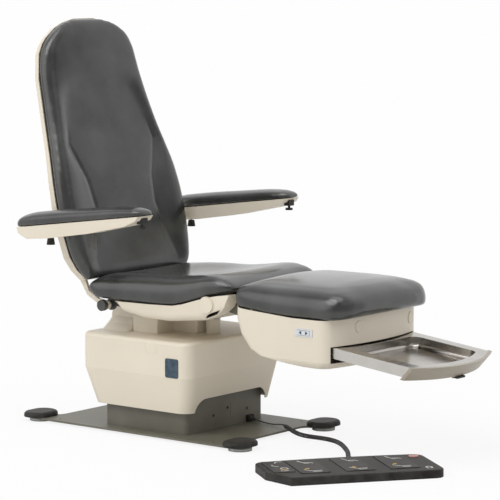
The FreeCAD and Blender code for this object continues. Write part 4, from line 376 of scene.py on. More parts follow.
# %% Helpers for padded forms
PRESSURE = 4.0
SWELL_FRAMES = 20
SECTION_STEPS = 12
FORM_ROUNDS, TRAVEL_ROUNDS = 6, 40
CREST_MOST, FOOT_MOST, WAIST = 0.45, 0.25, 0.45
FOOT_INSET = 12 * MM


def between(rows, at):
    """The values of a table at a place along it, eased so that no row shows as a corner."""
    places = [row[0] for row in rows]
    at = min(max(at, places[0]), places[-1])
    index = min(max(numpy.searchsorted(places, at) - 1, 0), len(rows) - 2)

    def slope(number, column):
        if number in (0, len(rows) - 1):
            near = min(max(number, 1), len(rows) - 1)
            return (rows[near][column] - rows[near - 1][column]) / (places[near] - places[near - 1])
        before = (rows[number][column] - rows[number - 1][column]) / (
            places[number] - places[number - 1])
        after = (rows[number + 1][column] - rows[number][column]) / (
            places[number + 1] - places[number])
        return 0.0 if before * after <= 0 else 2 * before * after / (before + after)

    span = places[index + 1] - places[index]
    t = (at - places[index]) / span
    values = []
    for column in range(1, len(rows[0])):
        first, last = rows[index][column], rows[index + 1][column]
        values.append((2 * t ** 3 - 3 * t ** 2 + 1) * first + (3 * t ** 2 - 2 * t ** 3) * last
                      + (t ** 3 - 2 * t ** 2 + t) * span * slope(index, column)
                      + (t ** 3 - t ** 2) * span * slope(index + 1, column))
    return values


def pad_section(half, low, rim, inset, top):
    """Across and height of one section: a flat foot, round flanks, and a top from a function."""
    thick = rim - low
    crest = half - min(inset, thick * CREST_MOST)
    foot = half - min(FOOT_INSET, thick * FOOT_MOST)
    middle = low + thick * WAIST
    turns = [math.pi / 2 * step / SECTION_STEPS for step in range(SECTION_STEPS)]
    right = [(foot + (half - foot) * math.sin(turn), middle - (middle - low) * math.cos(turn))
             for turn in turns]
    right += [(crest + (half - crest) * math.cos(turn), middle + (rim - middle) * math.sin(turn))
              for turn in turns]
    for step in range(2 * SECTION_STEPS + 1):
        share = 1 - step / (2 * SECTION_STEPS)
        right.append((crest * share, top(share)))
    left = [(-x, z) for x, z in reversed(right[:-1])]
    return right + left


def pad_form(name, sections):
    """A closed mesh through sections with the same number of points."""
    mesh = bmesh.new()
    rings = [[mesh.verts.new(point) for point in section] for section in sections]
    count = len(rings[0])
    for first, last in zip(rings, rings[1:]):
        for index in range(count):
            after = (index + 1) % count
            mesh.faces.new((first[index], first[after], last[after], last[index]))
    mesh.faces.new(rings[0])
    mesh.faces.new(rings[-1])
    bmesh.ops.recalc_face_normals(mesh, faces=mesh.faces)
    data = bpy.data.meshes.new(name)
    mesh.to_mesh(data)
    mesh.free()
    return data


def applied(piece):
    """Takes a piece's modifiers into its mesh."""
    bpy.context.view_layer.update()
    graph = bpy.context.evaluated_depsgraph_get()
    data = bpy.data.meshes.new_from_object(piece.evaluated_get(graph))
    piece.modifiers.clear()
    piece.data = data


def spots(piece):
    """The places of a mesh's points as rows of an array."""
    places = numpy.empty(len(piece.data.vertices) * 3, dtype=numpy.float32)
    piece.data.vertices.foreach_get("co", places)
    return places.reshape(-1, 3).astype(float)


def put(piece, places):
    """Moves a mesh's points to the places given."""
    piece.data.vertices.foreach_set("co", places.astype(numpy.float32).ravel())
    piece.data.update()


def evened(piece, field, rounds):
    """Averages a value or a place at each point with its neighbours', again and again."""
    edges = numpy.empty(len(piece.data.edges) * 2, dtype=numpy.int32)
    piece.data.edges.foreach_get("vertices", edges)
    first, last = edges.reshape(-1, 2).T
    count = numpy.bincount(first, minlength=len(field)) + numpy.bincount(last, minlength=len(field))
    for _ in range(rounds):
        total = numpy.empty_like(field)
        for column in range(field.shape[1]):
            total[:, column] = (numpy.bincount(first, field[last, column], len(field))
                                + numpy.bincount(last, field[first, column], len(field)))
        field = field * 0.5 + total / count[:, None] * 0.5
    return field


def swollen(name, data, grid, held, limit, rounds=FORM_ROUNDS):
    """Remeshes a form, blows it up as cloth between what is held, and limits the travel."""
    pad = add_object(name, data)
    remesh = pad.modifiers.new("even_squares", "REMESH")
    remesh.mode = "VOXEL"
    remesh.voxel_size = grid
    applied(pad)
    put(pad, evened(pad, spots(pad), rounds))
    start = spots(pad)
    group = pad.vertex_groups.new(name="held")
    for index, weight in enumerate(held(start)):
        if weight > 0:
            group.add([index], float(weight), "REPLACE")
    cloth = pad.modifiers.new("swell", "CLOTH")
    cloth.settings.use_pressure = True
    cloth.settings.uniform_pressure_force = PRESSURE
    cloth.settings.vertex_group_mass = "held"
    cloth.settings.effector_weights.gravity = 0.0
    cloth.settings.quality = 4
    cloth.collision_settings.use_collision = False
    cloth.point_cache.frame_start = 1
    cloth.point_cache.frame_end = SWELL_FRAMES
    for number in range(1, SWELL_FRAMES + 1):
        scene.frame_set(number)
    applied(pad)
    pad.vertex_groups.clear()
    scene.frame_set(1)
    travel = spots(pad) - start
    reach = numpy.linalg.norm(travel, axis=1)
    most = limit(start)
    travel *= (most * numpy.tanh(reach / most) / numpy.maximum(reach, 1e-9))[:, None]
    put(pad, start + evened(pad, travel, TRAVEL_ROUNDS))
    return pad


def crown(across_share, rim, centre):
    """Height of a top that runs evenly from its rim to its middle."""
    return centre + (rim - centre) * across_share ** 2


def stations(rows, spacing, length):
    """Places along a table, close enough for an even form."""
    first, last = rows[0][0], rows[-1][0]
    count = max(2, round((last - first) * length / spacing))
    return [first + (last - first) * number / count for number in range(count + 1)]


# %% The vinyl


def vinyl_finish():
    """Charcoal upholstery vinyl: a satin skin, a fine leather grain and slow changes of gloss."""
    tree = Tree("charcoal_vinyl")
    wide = tree.noise(0.16, 3.0)
    tree.join(tree.ramp(wide, mixed(CHARCOAL, 0.06), mixed(CHARCOAL, 0.03, (1, 1, 1, 1))),
              tree.shader, "Base Color")
    tree.join(tree.spread(wide, 0.21, 0.27), tree.shader, "Roughness")
    tree.shader.inputs["Coat Weight"].default_value = 0.35
    tree.shader.inputs["Coat Roughness"].default_value = 0.16
    slow = tree.bump(tree.noise(0.06, 2.0), 0.0006, 0.12)
    cells = tree.add("ShaderNodeTexVoronoi", feature="DISTANCE_TO_EDGE")
    cells.inputs["Scale"].default_value = 620.0
    tree.join(tree.place, cells, "Vector")
    grain = tree.bump(cells.outputs["Distance"], 0.00008, 0.4, slow)
    tree.join(grain, tree.shader, "Normal")
    return tree.material


vinyl = vinyl_finish()

# %% [markdown]
# ## Seat and leg cushions
# Both lie on the chair's level pan and box. The seat cushion is dished between soft side rolls and
# rises to a thick front edge. The leg cushion is a fuller slab with a slightly domed top and a
# bowed front end.

# %% Level cushions
# Rows: place along the pad, then shares of its half width, and of its height for the underside, the
# rim and the middle of the top.
SEAT_ROWS = [
    (0.003, 0.945, 0.30, 0.41, 0.415), (0.022, 0.985, 0.19, 0.50, 0.505),
    (0.051, 0.995, 0.08, 0.60, 0.60), (0.092, 0.995, 0.005, 0.685, 0.65),
    (0.16, 0.995, 0.003, 0.745, 0.635), (0.3225, 0.995, 0.003, 0.82, 0.635),
    (0.451, 0.995, 0.003, 0.85, 0.65), (0.53, 0.995, 0.01, 0.865, 0.675),
    (0.5935, 0.995, 0.035, 0.885, 0.72), (0.66, 0.995, 0.115, 0.915, 0.78),
    (0.725, 0.995, 0.22, 0.945, 0.84), (0.8265, 0.99, 0.375, 0.985, 0.945),
    (0.905, 0.975, 0.47, 0.92, 0.92), (0.959, 0.945, 0.53, 0.81, 0.83),
    (0.993, 0.89, 0.595, 0.69, 0.71)]
LEG_ROWS = [
    (0.004, 0.925, 0.44, 0.70, 0.75), (0.016, 0.95, 0.29, 0.80, 0.87),
    (0.044, 0.975, 0.16, 0.88, 0.96), (0.167, 0.995, 0.110, 0.93, 1.06),
    (0.534, 0.998, 0.003, 0.94, 1.09), (0.744, 0.995, 0.003, 0.93, 1.06),
    (0.84, 0.985, 0.008, 0.90, 1.0), (0.885, 0.965, 0.02, 0.87, 0.96),
    (0.92, 0.935, 0.045, 0.83, 0.91), (0.95, 0.88, 0.075, 0.77, 0.85),
    (0.975, 0.79, 0.12, 0.69, 0.77), (0.99, 0.67, 0.19, 0.60, 0.67),
    (0.999, 0.54, 0.31, 0.51, 0.55)]
FORM_SPACING = 0.012
PAD_GRID = 0.009
LEAST_SWELL, MORE_SWELL = 0.002, 0.006


def level_sections(rows, half, rear, length, low, height, shoulder):
    """Sections across a level pad, from its rear end to its front."""
    sections = []
    for along in stations(rows, FORM_SPACING, length):
        wide, bottom, rim, centre = between(rows, along)
        outline = pad_section(half * wide, low + height * bottom, low + height * rim, shoulder,
                              lambda share: crown(share, low + height * rim, low + height * centre))
        sections.append([(x, rear - length * along, z) for x, z in outline])
    return sections


def upholster(pad, body, node):
    """Gives a pad its vinyl and one subdivision, and puts it in its solid's place."""
    pad.data.materials.clear()
    pad.data.materials.append(vinyl)
    for face in pad.data.polygons:
        face.use_smooth = True
    smooth = pad.modifiers.new("smooth_skin", "SUBSURF")
    smooth.levels = smooth.render_levels = 1
    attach(pad, body)
    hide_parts(node)
    low, high = numpy.min(spots(pad), axis=0), numpy.max(spots(pad), axis=0)
    print(pad.name, len(pad.data.polygons), "faces,", (high - low).round(3))


def above(places, low, high):
    """How far each point's height has come from low to high, eased."""
    share = numpy.clip((places[:, 2] - low) / (high - low), 0, 1)
    return share * share * (3 - 2 * share)


def level_pad(name, rows, sizes, held_band, free_band):
    """A level pad, held at its foot and free to swell towards its top."""
    return swollen(name, pad_form(name, level_sections(rows, **sizes)), PAD_GRID,
                   lambda places: 1 - above(places, *held_band),
                   lambda places: LEAST_SWELL + MORE_SWELL * above(places, *free_band))


seat_pad = level_pad("seat_pad", SEAT_ROWS, {
    "half": 0.306, "rear": 0.246, "length": 0.746, "low": 0.531, "height": 0.131,
    "shoulder": 0.042}, held_band=(0.536, 0.575), free_band=(0.54, 0.62))
upholster(seat_pad, "seat", "seat_cushion")

leg_pad = level_pad("leg_pad", LEG_ROWS, {
    "half": 0.310, "rear": -0.499, "length": 0.540, "low": 0.540, "height": 0.112,
    "shoulder": 0.060}, held_band=(0.545, 0.58), free_band=(0.55, 0.62))
upholster(leg_pad, "leg_box", "leg_cushion")

# %% [markdown]
# ## Arm pads
# Each arm carries a long slim pad that tapers to a nose in front. The two are mirror images, so one
# function makes both from the same sections.

# %% Arm pads
ARM_ROWS = [(0.004, 0.61, 0.5), (0.02, 0.83, 0.85), (0.06, 0.94, 1.07), (0.15, 0.985, 1.18),
            (0.35, 0.985, 1.16), (0.55, 0.985, 1.08), (0.8, 0.985, 0.98), (0.92, 0.955, 0.81),
            (0.975, 0.82, 0.53), (0.997, 0.57, 0.2)]
ARM_CENTRE, ARM_HALF, ARM_REAR, ARM_LENGTH, ARM_THICK = 0.464, 0.052, 0.431, 0.655, 0.046
ARM_SEAT_REAR, ARM_SEAT_FRONT = (0.420, 0.8192), (-0.212, 0.9004)
ARM_CLEAR, ARM_SPACING, ARM_INSET, ARM_RIM, ARM_CREST = 0.0006, 0.007, 0.016, 0.8, 0.97
ARM_GRID, ARM_ROUNDS = 0.006, 3


def arm_seat(y):
    """Height of the arm shell's top under the pad."""
    (rear, low), (front, high) = ARM_SEAT_REAR, ARM_SEAT_FRONT
    return low + (high - low) * (rear - y) / (rear - front) + ARM_CLEAR


def arm_sections(side):
    """Sections across one arm's pad, from its rear end to its nose."""
    sections = []
    for along in stations(ARM_ROWS, ARM_SPACING, ARM_LENGTH):
        wide, tall = between(ARM_ROWS, along)
        y, thick = ARM_REAR - ARM_LENGTH * along, ARM_THICK * tall
        outline = pad_section(ARM_HALF * wide, 0.0, thick * ARM_RIM, ARM_INSET,
                              lambda share: crown(share, thick * ARM_RIM, thick * ARM_CREST))
        sections.append([(side * ARM_CENTRE + x, y, arm_seat(y) + z) for x, z in outline])
    return sections


def arm_height(places):
    """Points with their height measured from the arm shell's top."""
    seats = numpy.array([arm_seat(y) for y in places[:, 1]])
    return numpy.column_stack((places[:, 0], places[:, 1], places[:, 2] - seats))


for side, name in ((1, "left"), (-1, "right")):
    pad = swollen("arm_top_" + name, pad_form("arm_top_" + name, arm_sections(side)), ARM_GRID,
                  lambda places: 1 - above(arm_height(places), 0.003, 0.014),
                  lambda places: 0.0006 + 0.0016 * above(arm_height(places), 0.0, 0.03),
                  ARM_ROUNDS)
    upholster(pad, "arm_" + name, "arm_pad_" + name)

# %% [markdown]
# ## Back cushion
# The back is one long pad: broad rolls along both sides, a shallow bed between them for the spine,
# and a fuller rest for the head. Two folds run where the bed meets the rolls, drawn in at the
# waist. The pad leans, so its sections stand square to its own line.

# %% The back's own axes and its form
LEAN_SINE, LEAN_COSINE = 0.2521, 0.9677
BACK_HINGE = (0.158, 0.506)
BACK_LENGTH, BACK_HALF, BACK_THICK, BACK_BOW, BACK_FACE = 1.181, 0.370, 0.067, 0.088, 0.022
BACK_ROWS = [
    (0.0935, 0.83, 0.445, 0.56), (0.115, 0.875, 0.50, 0.76), (0.1372, 0.905, 0.568, 0.89),
    (0.182, 0.95, 0.648, 0.985), (0.2701, 0.985, 0.648, 0.985), (0.3573, 0.995, 0.659, 0.985),
    (0.4454, 0.97, 0.682, 0.985), (0.5351, 0.915, 0.773, 0.985), (0.6249, 0.86, 0.898, 0.985),
    (0.713, 0.82, 0.955, 0.99), (0.8019, 0.785, 1.0, 1.0), (0.8874, 0.73, 0.898, 0.97),
    (0.92, 0.675, 0.79, 0.91), (0.9399, 0.62, 0.705, 0.84), (0.9695, 0.49, 0.58, 0.65),
    (0.9873, 0.36, 0.5, 0.44), (0.998, 0.20, 0.458, 0.24)]
BED_ROWS = [
    (0.10, 0.250, 0.004), (0.16, 0.240, 0.014), (0.25, 0.205, 0.018), (0.335, 0.186, 0.018),
    (0.43, 0.200, 0.017), (0.50, 0.235, 0.015), (0.56, 0.262, 0.013), (0.62, 0.245, 0.012),
    (0.70, 0.215, 0.013), (0.745, 0.185, 0.012), (0.78, 0.13, 0.005), (0.81, 0.06, -0.002),
    (0.85, 0.06, -0.005), (0.90, 0.06, -0.004), (1.0, 0.06, -0.001)]
ROLL_INSET = 0.050
FLAT_MARGIN, BED_EASE, BACK_CLEAR = 0.03, 0.02, 0.002


def on_back(across, up, deep):
    """A place on the leaning back: across, up along it, and behind its hinge line."""
    return (across, BACK_HINGE[0] + up * LEAN_SINE + deep * LEAN_COSINE,
            BACK_HINGE[1] + up * LEAN_COSINE - deep * LEAN_SINE)


def eased(value):
    """A share from 0 to 1 with a soft start and end."""
    value = numpy.clip(value, 0, 1)
    return value * value * (3 - 2 * value)


def back_sections():
    """Sections square to the back's own line, from its lower end to its top."""
    sections = []
    for along in stations(BACK_ROWS, FORM_SPACING, BACK_LENGTH):
        wide, bow, thick = between(BACK_ROWS, along)
        bed, sunk = between(BED_ROWS, along)
        half, rim = BACK_HALF * wide, BACK_THICK * thick
        edge = half - ROLL_INSET
        flat = min(bed, edge - FLAT_MARGIN)

        def top(share, rim=rim, edge=edge, flat=flat, sunk=sunk):
            return rim - sunk * float(eased((edge - edge * share) / (edge - flat + BED_EASE)))

        outline = pad_section(half, BACK_CLEAR, rim, ROLL_INSET, top)
        surface = BACK_BOW * bow + BACK_FACE
        sections.append([on_back(x, BACK_LENGTH * along, surface - z) for x, z in outline])
    return sections


def back_axes(places):
    """Across, share along the back, and height in front of the shell, for each point."""
    y, z = places[:, 1] - BACK_HINGE[0], places[:, 2] - BACK_HINGE[1]
    along = (y * LEAN_SINE + z * LEAN_COSINE) / BACK_LENGTH
    deep = y * LEAN_COSINE - z * LEAN_SINE
    bow = numpy.interp(along, [row[0] for row in BACK_ROWS], [row[2] for row in BACK_ROWS])
    return places[:, 0], along, BACK_BOW * bow + BACK_FACE - deep


# %% Where the back's skin is held, and how far it may swell
FOLD_PLACES, FOLD_SHARES = (0.10, 0.18, 0.36, 0.50, 0.56, 0.64), (0, 0.3, 0.8, 1.0, 0.9, 0)
HELD_WIDTH, FOLD_WIDTH, FOLD_DEPTH = 0.012, 0.009, 0.005


def fold_share(places, width):
    """How near each point lies to the folds between bed and rolls, from 0 to 1."""
    across, along, height = back_axes(places)
    line = numpy.interp(along, [row[0] for row in BED_ROWS], [row[1] for row in BED_ROWS])
    return (numpy.exp(-((numpy.abs(across) - line) / width) ** 2)
            * numpy.interp(along, FOLD_PLACES, FOLD_SHARES) * eased((height - 0.02) / 0.02))


def back_held(places):
    """The skin is held near the shell and along the folds."""
    height = back_axes(places)[2]
    return numpy.maximum(1 - eased((height - 0.006) / 0.02), fold_share(places, HELD_WIDTH) > 0.5)


def back_limit(places):
    """The rolls may swell further than the bed, and the foot of the pad hardly at all."""
    across, _, height = back_axes(places)
    roll = 0.4 + 0.6 * eased((numpy.abs(across) - 0.2) / 0.1)
    return 0.0015 + 0.004 * eased((height - 0.01) / 0.04) * roll


# %% The back pad, its folds pressed in
back_pad = swollen("back_pad", pad_form("back_pad", back_sections()), PAD_GRID, back_held,
                   back_limit)
press = spots(back_pad)
sink = FOLD_DEPTH * fold_share(press, FOLD_WIDTH)
press[:, 1] += sink * LEAN_COSINE
press[:, 2] -= sink * LEAN_SINE
put(back_pad, press)
upholster(back_pad, "back", "back_cushion")

# %% [markdown]
# ## Small trims
# Trims sit on curved shells, so each is dropped onto its shell along a straight line: a ray finds
# the place and the way that the surface faces there, and the trim is built in that plane. The
# outline of a cap that is moulded into the real shroud is a thin raised bead here, because a
# shell's own mesh stays as it is.

# %% Places on the shells


def landing(node, start, way):
    """Where a straight line meets a node's surface, and the surface's outward side there."""
    data = nodes[node].data
    tree = BVHTree.FromPolygons([vertex.co for vertex in data.vertices],
                                [tuple(face.vertices) for face in data.polygons])
    place, normal, _, _ = tree.ray_cast(Vector(start), Vector(way).normalized())
    return place, normal if normal.dot(Vector(way)) < 0 else -normal


def plane_of(place, normal, upward=Vector((0, 0, 1))):
    """A matrix whose Z is the surface's outward side and whose Y points up along it."""
    across = upward.cross(normal).normalized()
    up = normal.cross(across).normalized()
    return Matrix(((across.x, up.x, normal.x, place.x), (across.y, up.y, normal.y, place.y),
                   (across.z, up.z, normal.z, place.z), (0, 0, 0, 1)))


def ring_walls(rows, steps):
    """Faces between rings of points, closed at both ends."""
    faces = []
    for row in range(rows - 1):
        for step in range(steps):
            after = (step + 1) % steps
            faces.append((row * steps + step, row * steps + after,
                          (row + 1) * steps + after, (row + 1) * steps + step))
    faces.append(tuple(range(steps)))
    faces.append(tuple(range((rows - 1) * steps, rows * steps)))
    return faces


BLOCK_FACES = [(0, 1, 2, 3), (4, 5, 6, 7), (0, 1, 5, 4), (1, 2, 6, 5), (2, 3, 7, 6), (3, 0, 4, 7)]
WEDGE_FACES = [(0, 1, 2), (3, 4, 5), (0, 1, 4, 3), (1, 2, 5, 4), (2, 0, 3, 5)]


def mesh_piece(name, points, faces, body, slot, *finishes, smooth=False):
    """A piece from points and faces that rides on a body."""
    data = bpy.data.meshes.new(name)
    data.from_pydata([tuple(point) for point in points], [], faces)
    mesh = bmesh.new()
    mesh.from_mesh(data)
    bmesh.ops.remove_doubles(mesh, verts=mesh.verts, dist=1e-6)
    bmesh.ops.recalc_face_normals(mesh, faces=mesh.faces)
    mesh.to_mesh(data)
    mesh.free()
    for face in data.polygons:
        face.use_smooth = smooth
    piece = add_object(name, data, *finishes)
    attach(piece, body)
    return piece


def turned(profile, steps):
    """Points and faces of a solid turned about Z from radius and height pairs."""
    points = []
    for radius, height in profile:
        for step in range(steps):
            turn = 2 * math.pi * step / steps
            points.append(Vector((radius * math.cos(turn), radius * math.sin(turn), height)))
    return points, ring_walls(len(profile), steps)


# %% Round caps on the front of the leg box
CAP_PROFILE = [(23, -3), (23, 2.4), (22, 3.2), (20.6, 3.4), (19.6, 2.6), (19.2, 2.6), (10, 3.2),
               (2, 3.3)]
CAP_PLACES = [(-0.127, 0.504), (0.235, 0.497)]
CAP_STEPS = 48
WELL_IN_FRONT, WELL_ASIDE = 1.5, 0.6

for number, (across, high) in enumerate(CAP_PLACES):
    place, normal = landing("leg_shell", (across, -WELL_IN_FRONT, high), (0, 1, 0))
    points, faces = turned([(radius * MM, height * MM) for radius, height in CAP_PROFILE],
                           CAP_STEPS)
    frame_here = plane_of(place, normal)
    mesh_piece(f"leg_cap_{number}", [frame_here @ point for point in points], faces, "leg_box",
               "cream_plastic", cream, smooth=True)
    print("cap", number, [round(v, 3) for v in place])

# %% The round cap's line on the shroud's side
CAP_LINE_MIDDLE, CAP_LINE_RADIUS = (-0.098, 0.366), 0.031
CAP_LINE_TURN = range(20, -211, -15)
BEAD_RADIUS, BEAD_SMOOTH = 0.9 * MM, 6

cap_line = []
for angle in CAP_LINE_TURN:
    start = (-WELL_ASIDE, CAP_LINE_MIDDLE[0] + CAP_LINE_RADIUS * math.cos(math.radians(angle)),
             CAP_LINE_MIDDLE[1] + CAP_LINE_RADIUS * math.sin(math.radians(angle)))
    cap_line.append(landing("shroud", start, (1, 0, 0))[0])
bead = add_object("shroud_cap_line", nurbs("shroud_cap_line", cap_line, BEAD_RADIUS, BEAD_SMOOTH),
                  cream)
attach(bead, "carriage")
print("shroud cap line:", len(cap_line), "points")

# %% Arrow marks on the switch
mark_blue = painted("mark_blue", srgb(20, 52, 80), 0.4, drift=0.04, blot=0.01, depth=0.00001,
                    edge=0)
rocker_low, rocker_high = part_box("switch_rocker")
rocker_middle = (rocker_low + rocker_high) / 2
ARROW_HALF, ARROW_REACH, ARROW_AWAY = 7.5 * MM, 12 * MM, 9 * MM
MARK_LIFT = 0.35 * MM
for name, way in (("out", -1), ("in", 1)):
    corners = [Vector((rocker_low.x, rocker_middle.y + way * away, rocker_middle.z + rise))
               for away, rise in ((ARROW_AWAY + ARROW_REACH, 0), (ARROW_AWAY, ARROW_HALF),
                                  (ARROW_AWAY, -ARROW_HALF))]
    points = [corner + Vector((shift, 0, 0)) for shift in (MM, -MARK_LIFT) for corner in corners]
    mesh_piece("switch_arrow_" + name, points, WEDGE_FACES, "rocker", "blue_plate", mark_blue)

# %% [markdown]
# ## Markings on the foot control
# Each key carries plain pictograms in white and yellow: a chair with an arrow. They are strokes of
# one width, laid a fraction of a millimetre proud of the key, and each rides on the key that it
# marks.

# %% Strokes and pictograms
CONTROL_PLACE = Vector((-0.370, -1.120, 0))
CONTROL_TURN = math.radians(-37.3)
STROKE = 4.0
STROKE_OVERLAP = 0.3
MARK_STRETCH = 1.5
MARK_SUNK = 0.6 * MM
white_print = painted("white_print", srgb(228, 228, 224), 0.5, drift=0.03, blot=0.01, edge=0)
yellow_print = painted("yellow_print", srgb(222, 178, 66), 0.5, drift=0.03, blot=0.01, edge=0)

CHAIR = [[(-17, 9), (-9, -6), (7, -6), (13, -12)], [(-9, -6), (-5, -12), (4, -12)]]
LOW_CHAIR = [[(-15, 4), (-5, -5), (12, -5)], [(-5, -5), (-3, -10), (8, -10)]]
ARROW_UP = [[(15, -2), (15, 9)], [(11, 5), (15, 10), (19, 5)]]
ARROW_TURN = [[(-22, 4), (-17, 12), (-9, 14)], [(-13, 17), (-8, 14), (-12, 10)]]
HOME = [[(-10, 0), (0, 9), (10, 0)], [(-7, 0), (-7, -9), (7, -9), (7, 0)]]
ARC = [[(-9, -6), (-8, 3), (-2, 8), (6, 9)]]
PAD = [[(-13, 4), (-4, 9), (8, 6), (12, -2), (2, -8), (-10, -5), (-13, 4)]]


def stroke_mesh(lines, place, turn, size, top):
    """Flat strokes of one width about a place in the control's own plan, in millimetres."""
    points, faces = [], []
    spin = Matrix.Rotation(math.radians(turn), 2)
    whole = Matrix.Rotation(CONTROL_TURN, 2)
    for line in lines:
        corners = [spin @ Vector((x * size, y * size * MARK_STRETCH)) for x, y in line]
        for first, last in zip(corners, corners[1:]):
            along = (last - first).normalized() * (STROKE * STROKE_OVERLAP)
            side = Vector((-along.y, along.x)).normalized() * (STROKE / 2)
            ring = [first - along - side, last + along - side,
                    last + along + side, first - along + side]
            start = len(points)
            for height in (-MARK_SUNK, MARK_LIFT):
                for corner in ring:
                    flat = whole @ ((corner + Vector(place)) * MM)
                    points.append(CONTROL_PLACE + Vector((flat.x, flat.y, top + height)))
            faces += [tuple(start + corner for corner in face) for face in BLOCK_FACES]
    return points, faces


# Each mark: its name, what it rides on, its strokes, print, place, turn, size and height.
key_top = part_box("foot_key_1")[1].z
side_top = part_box("foot_key_program")[1].z
housing_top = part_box("foot_control_housing")[1].z
MARKS = [
    ("rear_1", "key_1", CHAIR, white_print, (-148, 100), 0, 1.6, key_top),
    ("rear_2", "key_2", CHAIR, white_print, (24, 100), 0, 1.6, key_top),
    ("rear_3", "key_3", CHAIR, white_print, (192, 100), 0, 1.6, key_top),
    ("front_1", "key_1", LOW_CHAIR, white_print, (-158, -48), 8, 2.1, key_top),
    ("front_2", "key_2", LOW_CHAIR, white_print, (14, -46), 8, 2.1, key_top),
    ("front_3", "key_3", LOW_CHAIR, white_print, (182, -46), 8, 2.1, key_top),
    ("turn_1", "key_1", ARROW_TURN, yellow_print, (-156, -50), 0, 1.5, key_top),
    ("turn_2", "key_2", ARROW_UP, yellow_print, (-28, -50), 0, 1.7, key_top),
    ("turn_3", "key_3", ARROW_TURN, yellow_print, (180, -44), 0, 1.5, key_top),
    ("home", "base", HOME, white_print, (266, -96), 0, 1.3, housing_top),
    ("pad", "key_program", PAD, white_print, (-254, 2), 0, 1.1, side_top),
    ("pad_arrow", "key_program", ARROW_UP, yellow_print, (-270, 6), -90, 1.4, side_top),
    ("arc_1", "key_program", ARC, white_print, (-250, 108), -20, 1.4, side_top),
    ("arc_2", "key_program", ARC, white_print, (-272, 56), 60, 1.3, side_top),
    ("arc_3", "key_program", ARC, white_print, (-262, -30), 130, 1.1, side_top)]
for name, body, lines, finish, place, turn, size, top in MARKS:
    points, faces = stroke_mesh(lines, place, turn, size, top)
    mesh_piece("mark_" + name, points, faces, body, "soft_grey", finish)
print("marks:", len(MARKS))

# %% [markdown]
# ## Stitched darts
# A short dart is sewn into each side roll of the back at shoulder height. The stitches repeat
# along a line, so Geometry Nodes places them: the line is resampled at the stitch length, a small
# bead that is stretched along the line is put on each point, and the result is realized and given
# its thread.

# %% A node tree that lays stitches along a line
thread = painted("thread", srgb(58, 60, 58), 0.6, drift=0.05, blot=0.004, grain=0.0003, edge=0)


def stitch_tree():
    """A tree that lays one bead at every stitch along a line, and its inputs' identifiers."""
    tree = bpy.data.node_groups.new("stitch_row", "GeometryNodeTree")
    face = tree.interface
    face.new_socket("Geometry", in_out="INPUT", socket_type="NodeSocketGeometry")
    spacing = face.new_socket("Spacing", in_out="INPUT", socket_type="NodeSocketFloat")
    length = face.new_socket("Length", in_out="INPUT", socket_type="NodeSocketFloat")
    radius = face.new_socket("Radius", in_out="INPUT", socket_type="NodeSocketFloat")
    finish = face.new_socket("Thread", in_out="INPUT", socket_type="NodeSocketMaterial")
    face.new_socket("Geometry", in_out="OUTPUT", socket_type="NodeSocketGeometry")
    add, join = tree.nodes.new, tree.links.new
    entry, leave = add("NodeGroupInput"), add("NodeGroupOutput")
    line = add("GeometryNodeMeshToCurve")
    even = add("GeometryNodeResampleCurve")
    even.mode = "LENGTH"
    stitch = add("GeometryNodeMeshUVSphere")
    stitch.inputs["Segments"].default_value = 8
    stitch.inputs["Rings"].default_value = 6
    stitch.inputs["Radius"].default_value = 1.0
    size = add("ShaderNodeCombineXYZ")
    laid = add("GeometryNodeInstanceOnPoints")
    tangent = add("GeometryNodeInputTangent")
    turn = add("FunctionNodeAlignRotationToVector")
    turn.axis = "X"
    real = add("GeometryNodeRealizeInstances")
    dressed = add("GeometryNodeSetMaterial")
    join(entry.outputs["Geometry"], line.inputs["Mesh"])
    join(line.outputs["Curve"], even.inputs["Curve"])
    join(entry.outputs["Spacing"], even.inputs["Length"])
    join(even.outputs["Curve"], laid.inputs["Points"])
    join(stitch.outputs["Mesh"], laid.inputs["Instance"])
    join(tangent.outputs["Tangent"], turn.inputs["Vector"])
    join(turn.outputs["Rotation"], laid.inputs["Rotation"])
    join(entry.outputs["Length"], size.inputs["X"])
    for axis in ("Y", "Z"):
        join(entry.outputs["Radius"], size.inputs[axis])
    join(size.outputs["Vector"], laid.inputs["Scale"])
    join(laid.outputs["Instances"], real.inputs["Geometry"])
    join(real.outputs["Geometry"], dressed.inputs["Geometry"])
    join(entry.outputs["Thread"], dressed.inputs["Material"])
    join(dressed.outputs["Geometry"], leave.inputs["Geometry"])
    return tree, {"spacing": spacing.identifier, "length": length.identifier,
                  "radius": radius.identifier, "thread": finish.identifier}


stitches, sockets = stitch_tree()
STITCH_SPACING, STITCH_LENGTH, STITCH_RADIUS = 5.2 * MM, 1.9 * MM, 0.42 * MM


def sewn(name, points, body):
    """A row of stitches along points, as a plain mesh on a body."""
    data = bpy.data.meshes.new(name)
    data.from_pydata(points, [(n, n + 1) for n in range(len(points) - 1)], [])
    row = add_object(name, data)
    rule = row.modifiers.new("stitches", "NODES")
    rule.node_group = stitches
    rule[sockets["spacing"]] = STITCH_SPACING
    rule[sockets["length"]] = STITCH_LENGTH
    rule[sockets["radius"]] = STITCH_RADIUS
    rule[sockets["thread"]] = thread
    applied(row)
    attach(row, body)
    print(name, len(row.data.polygons), "faces")


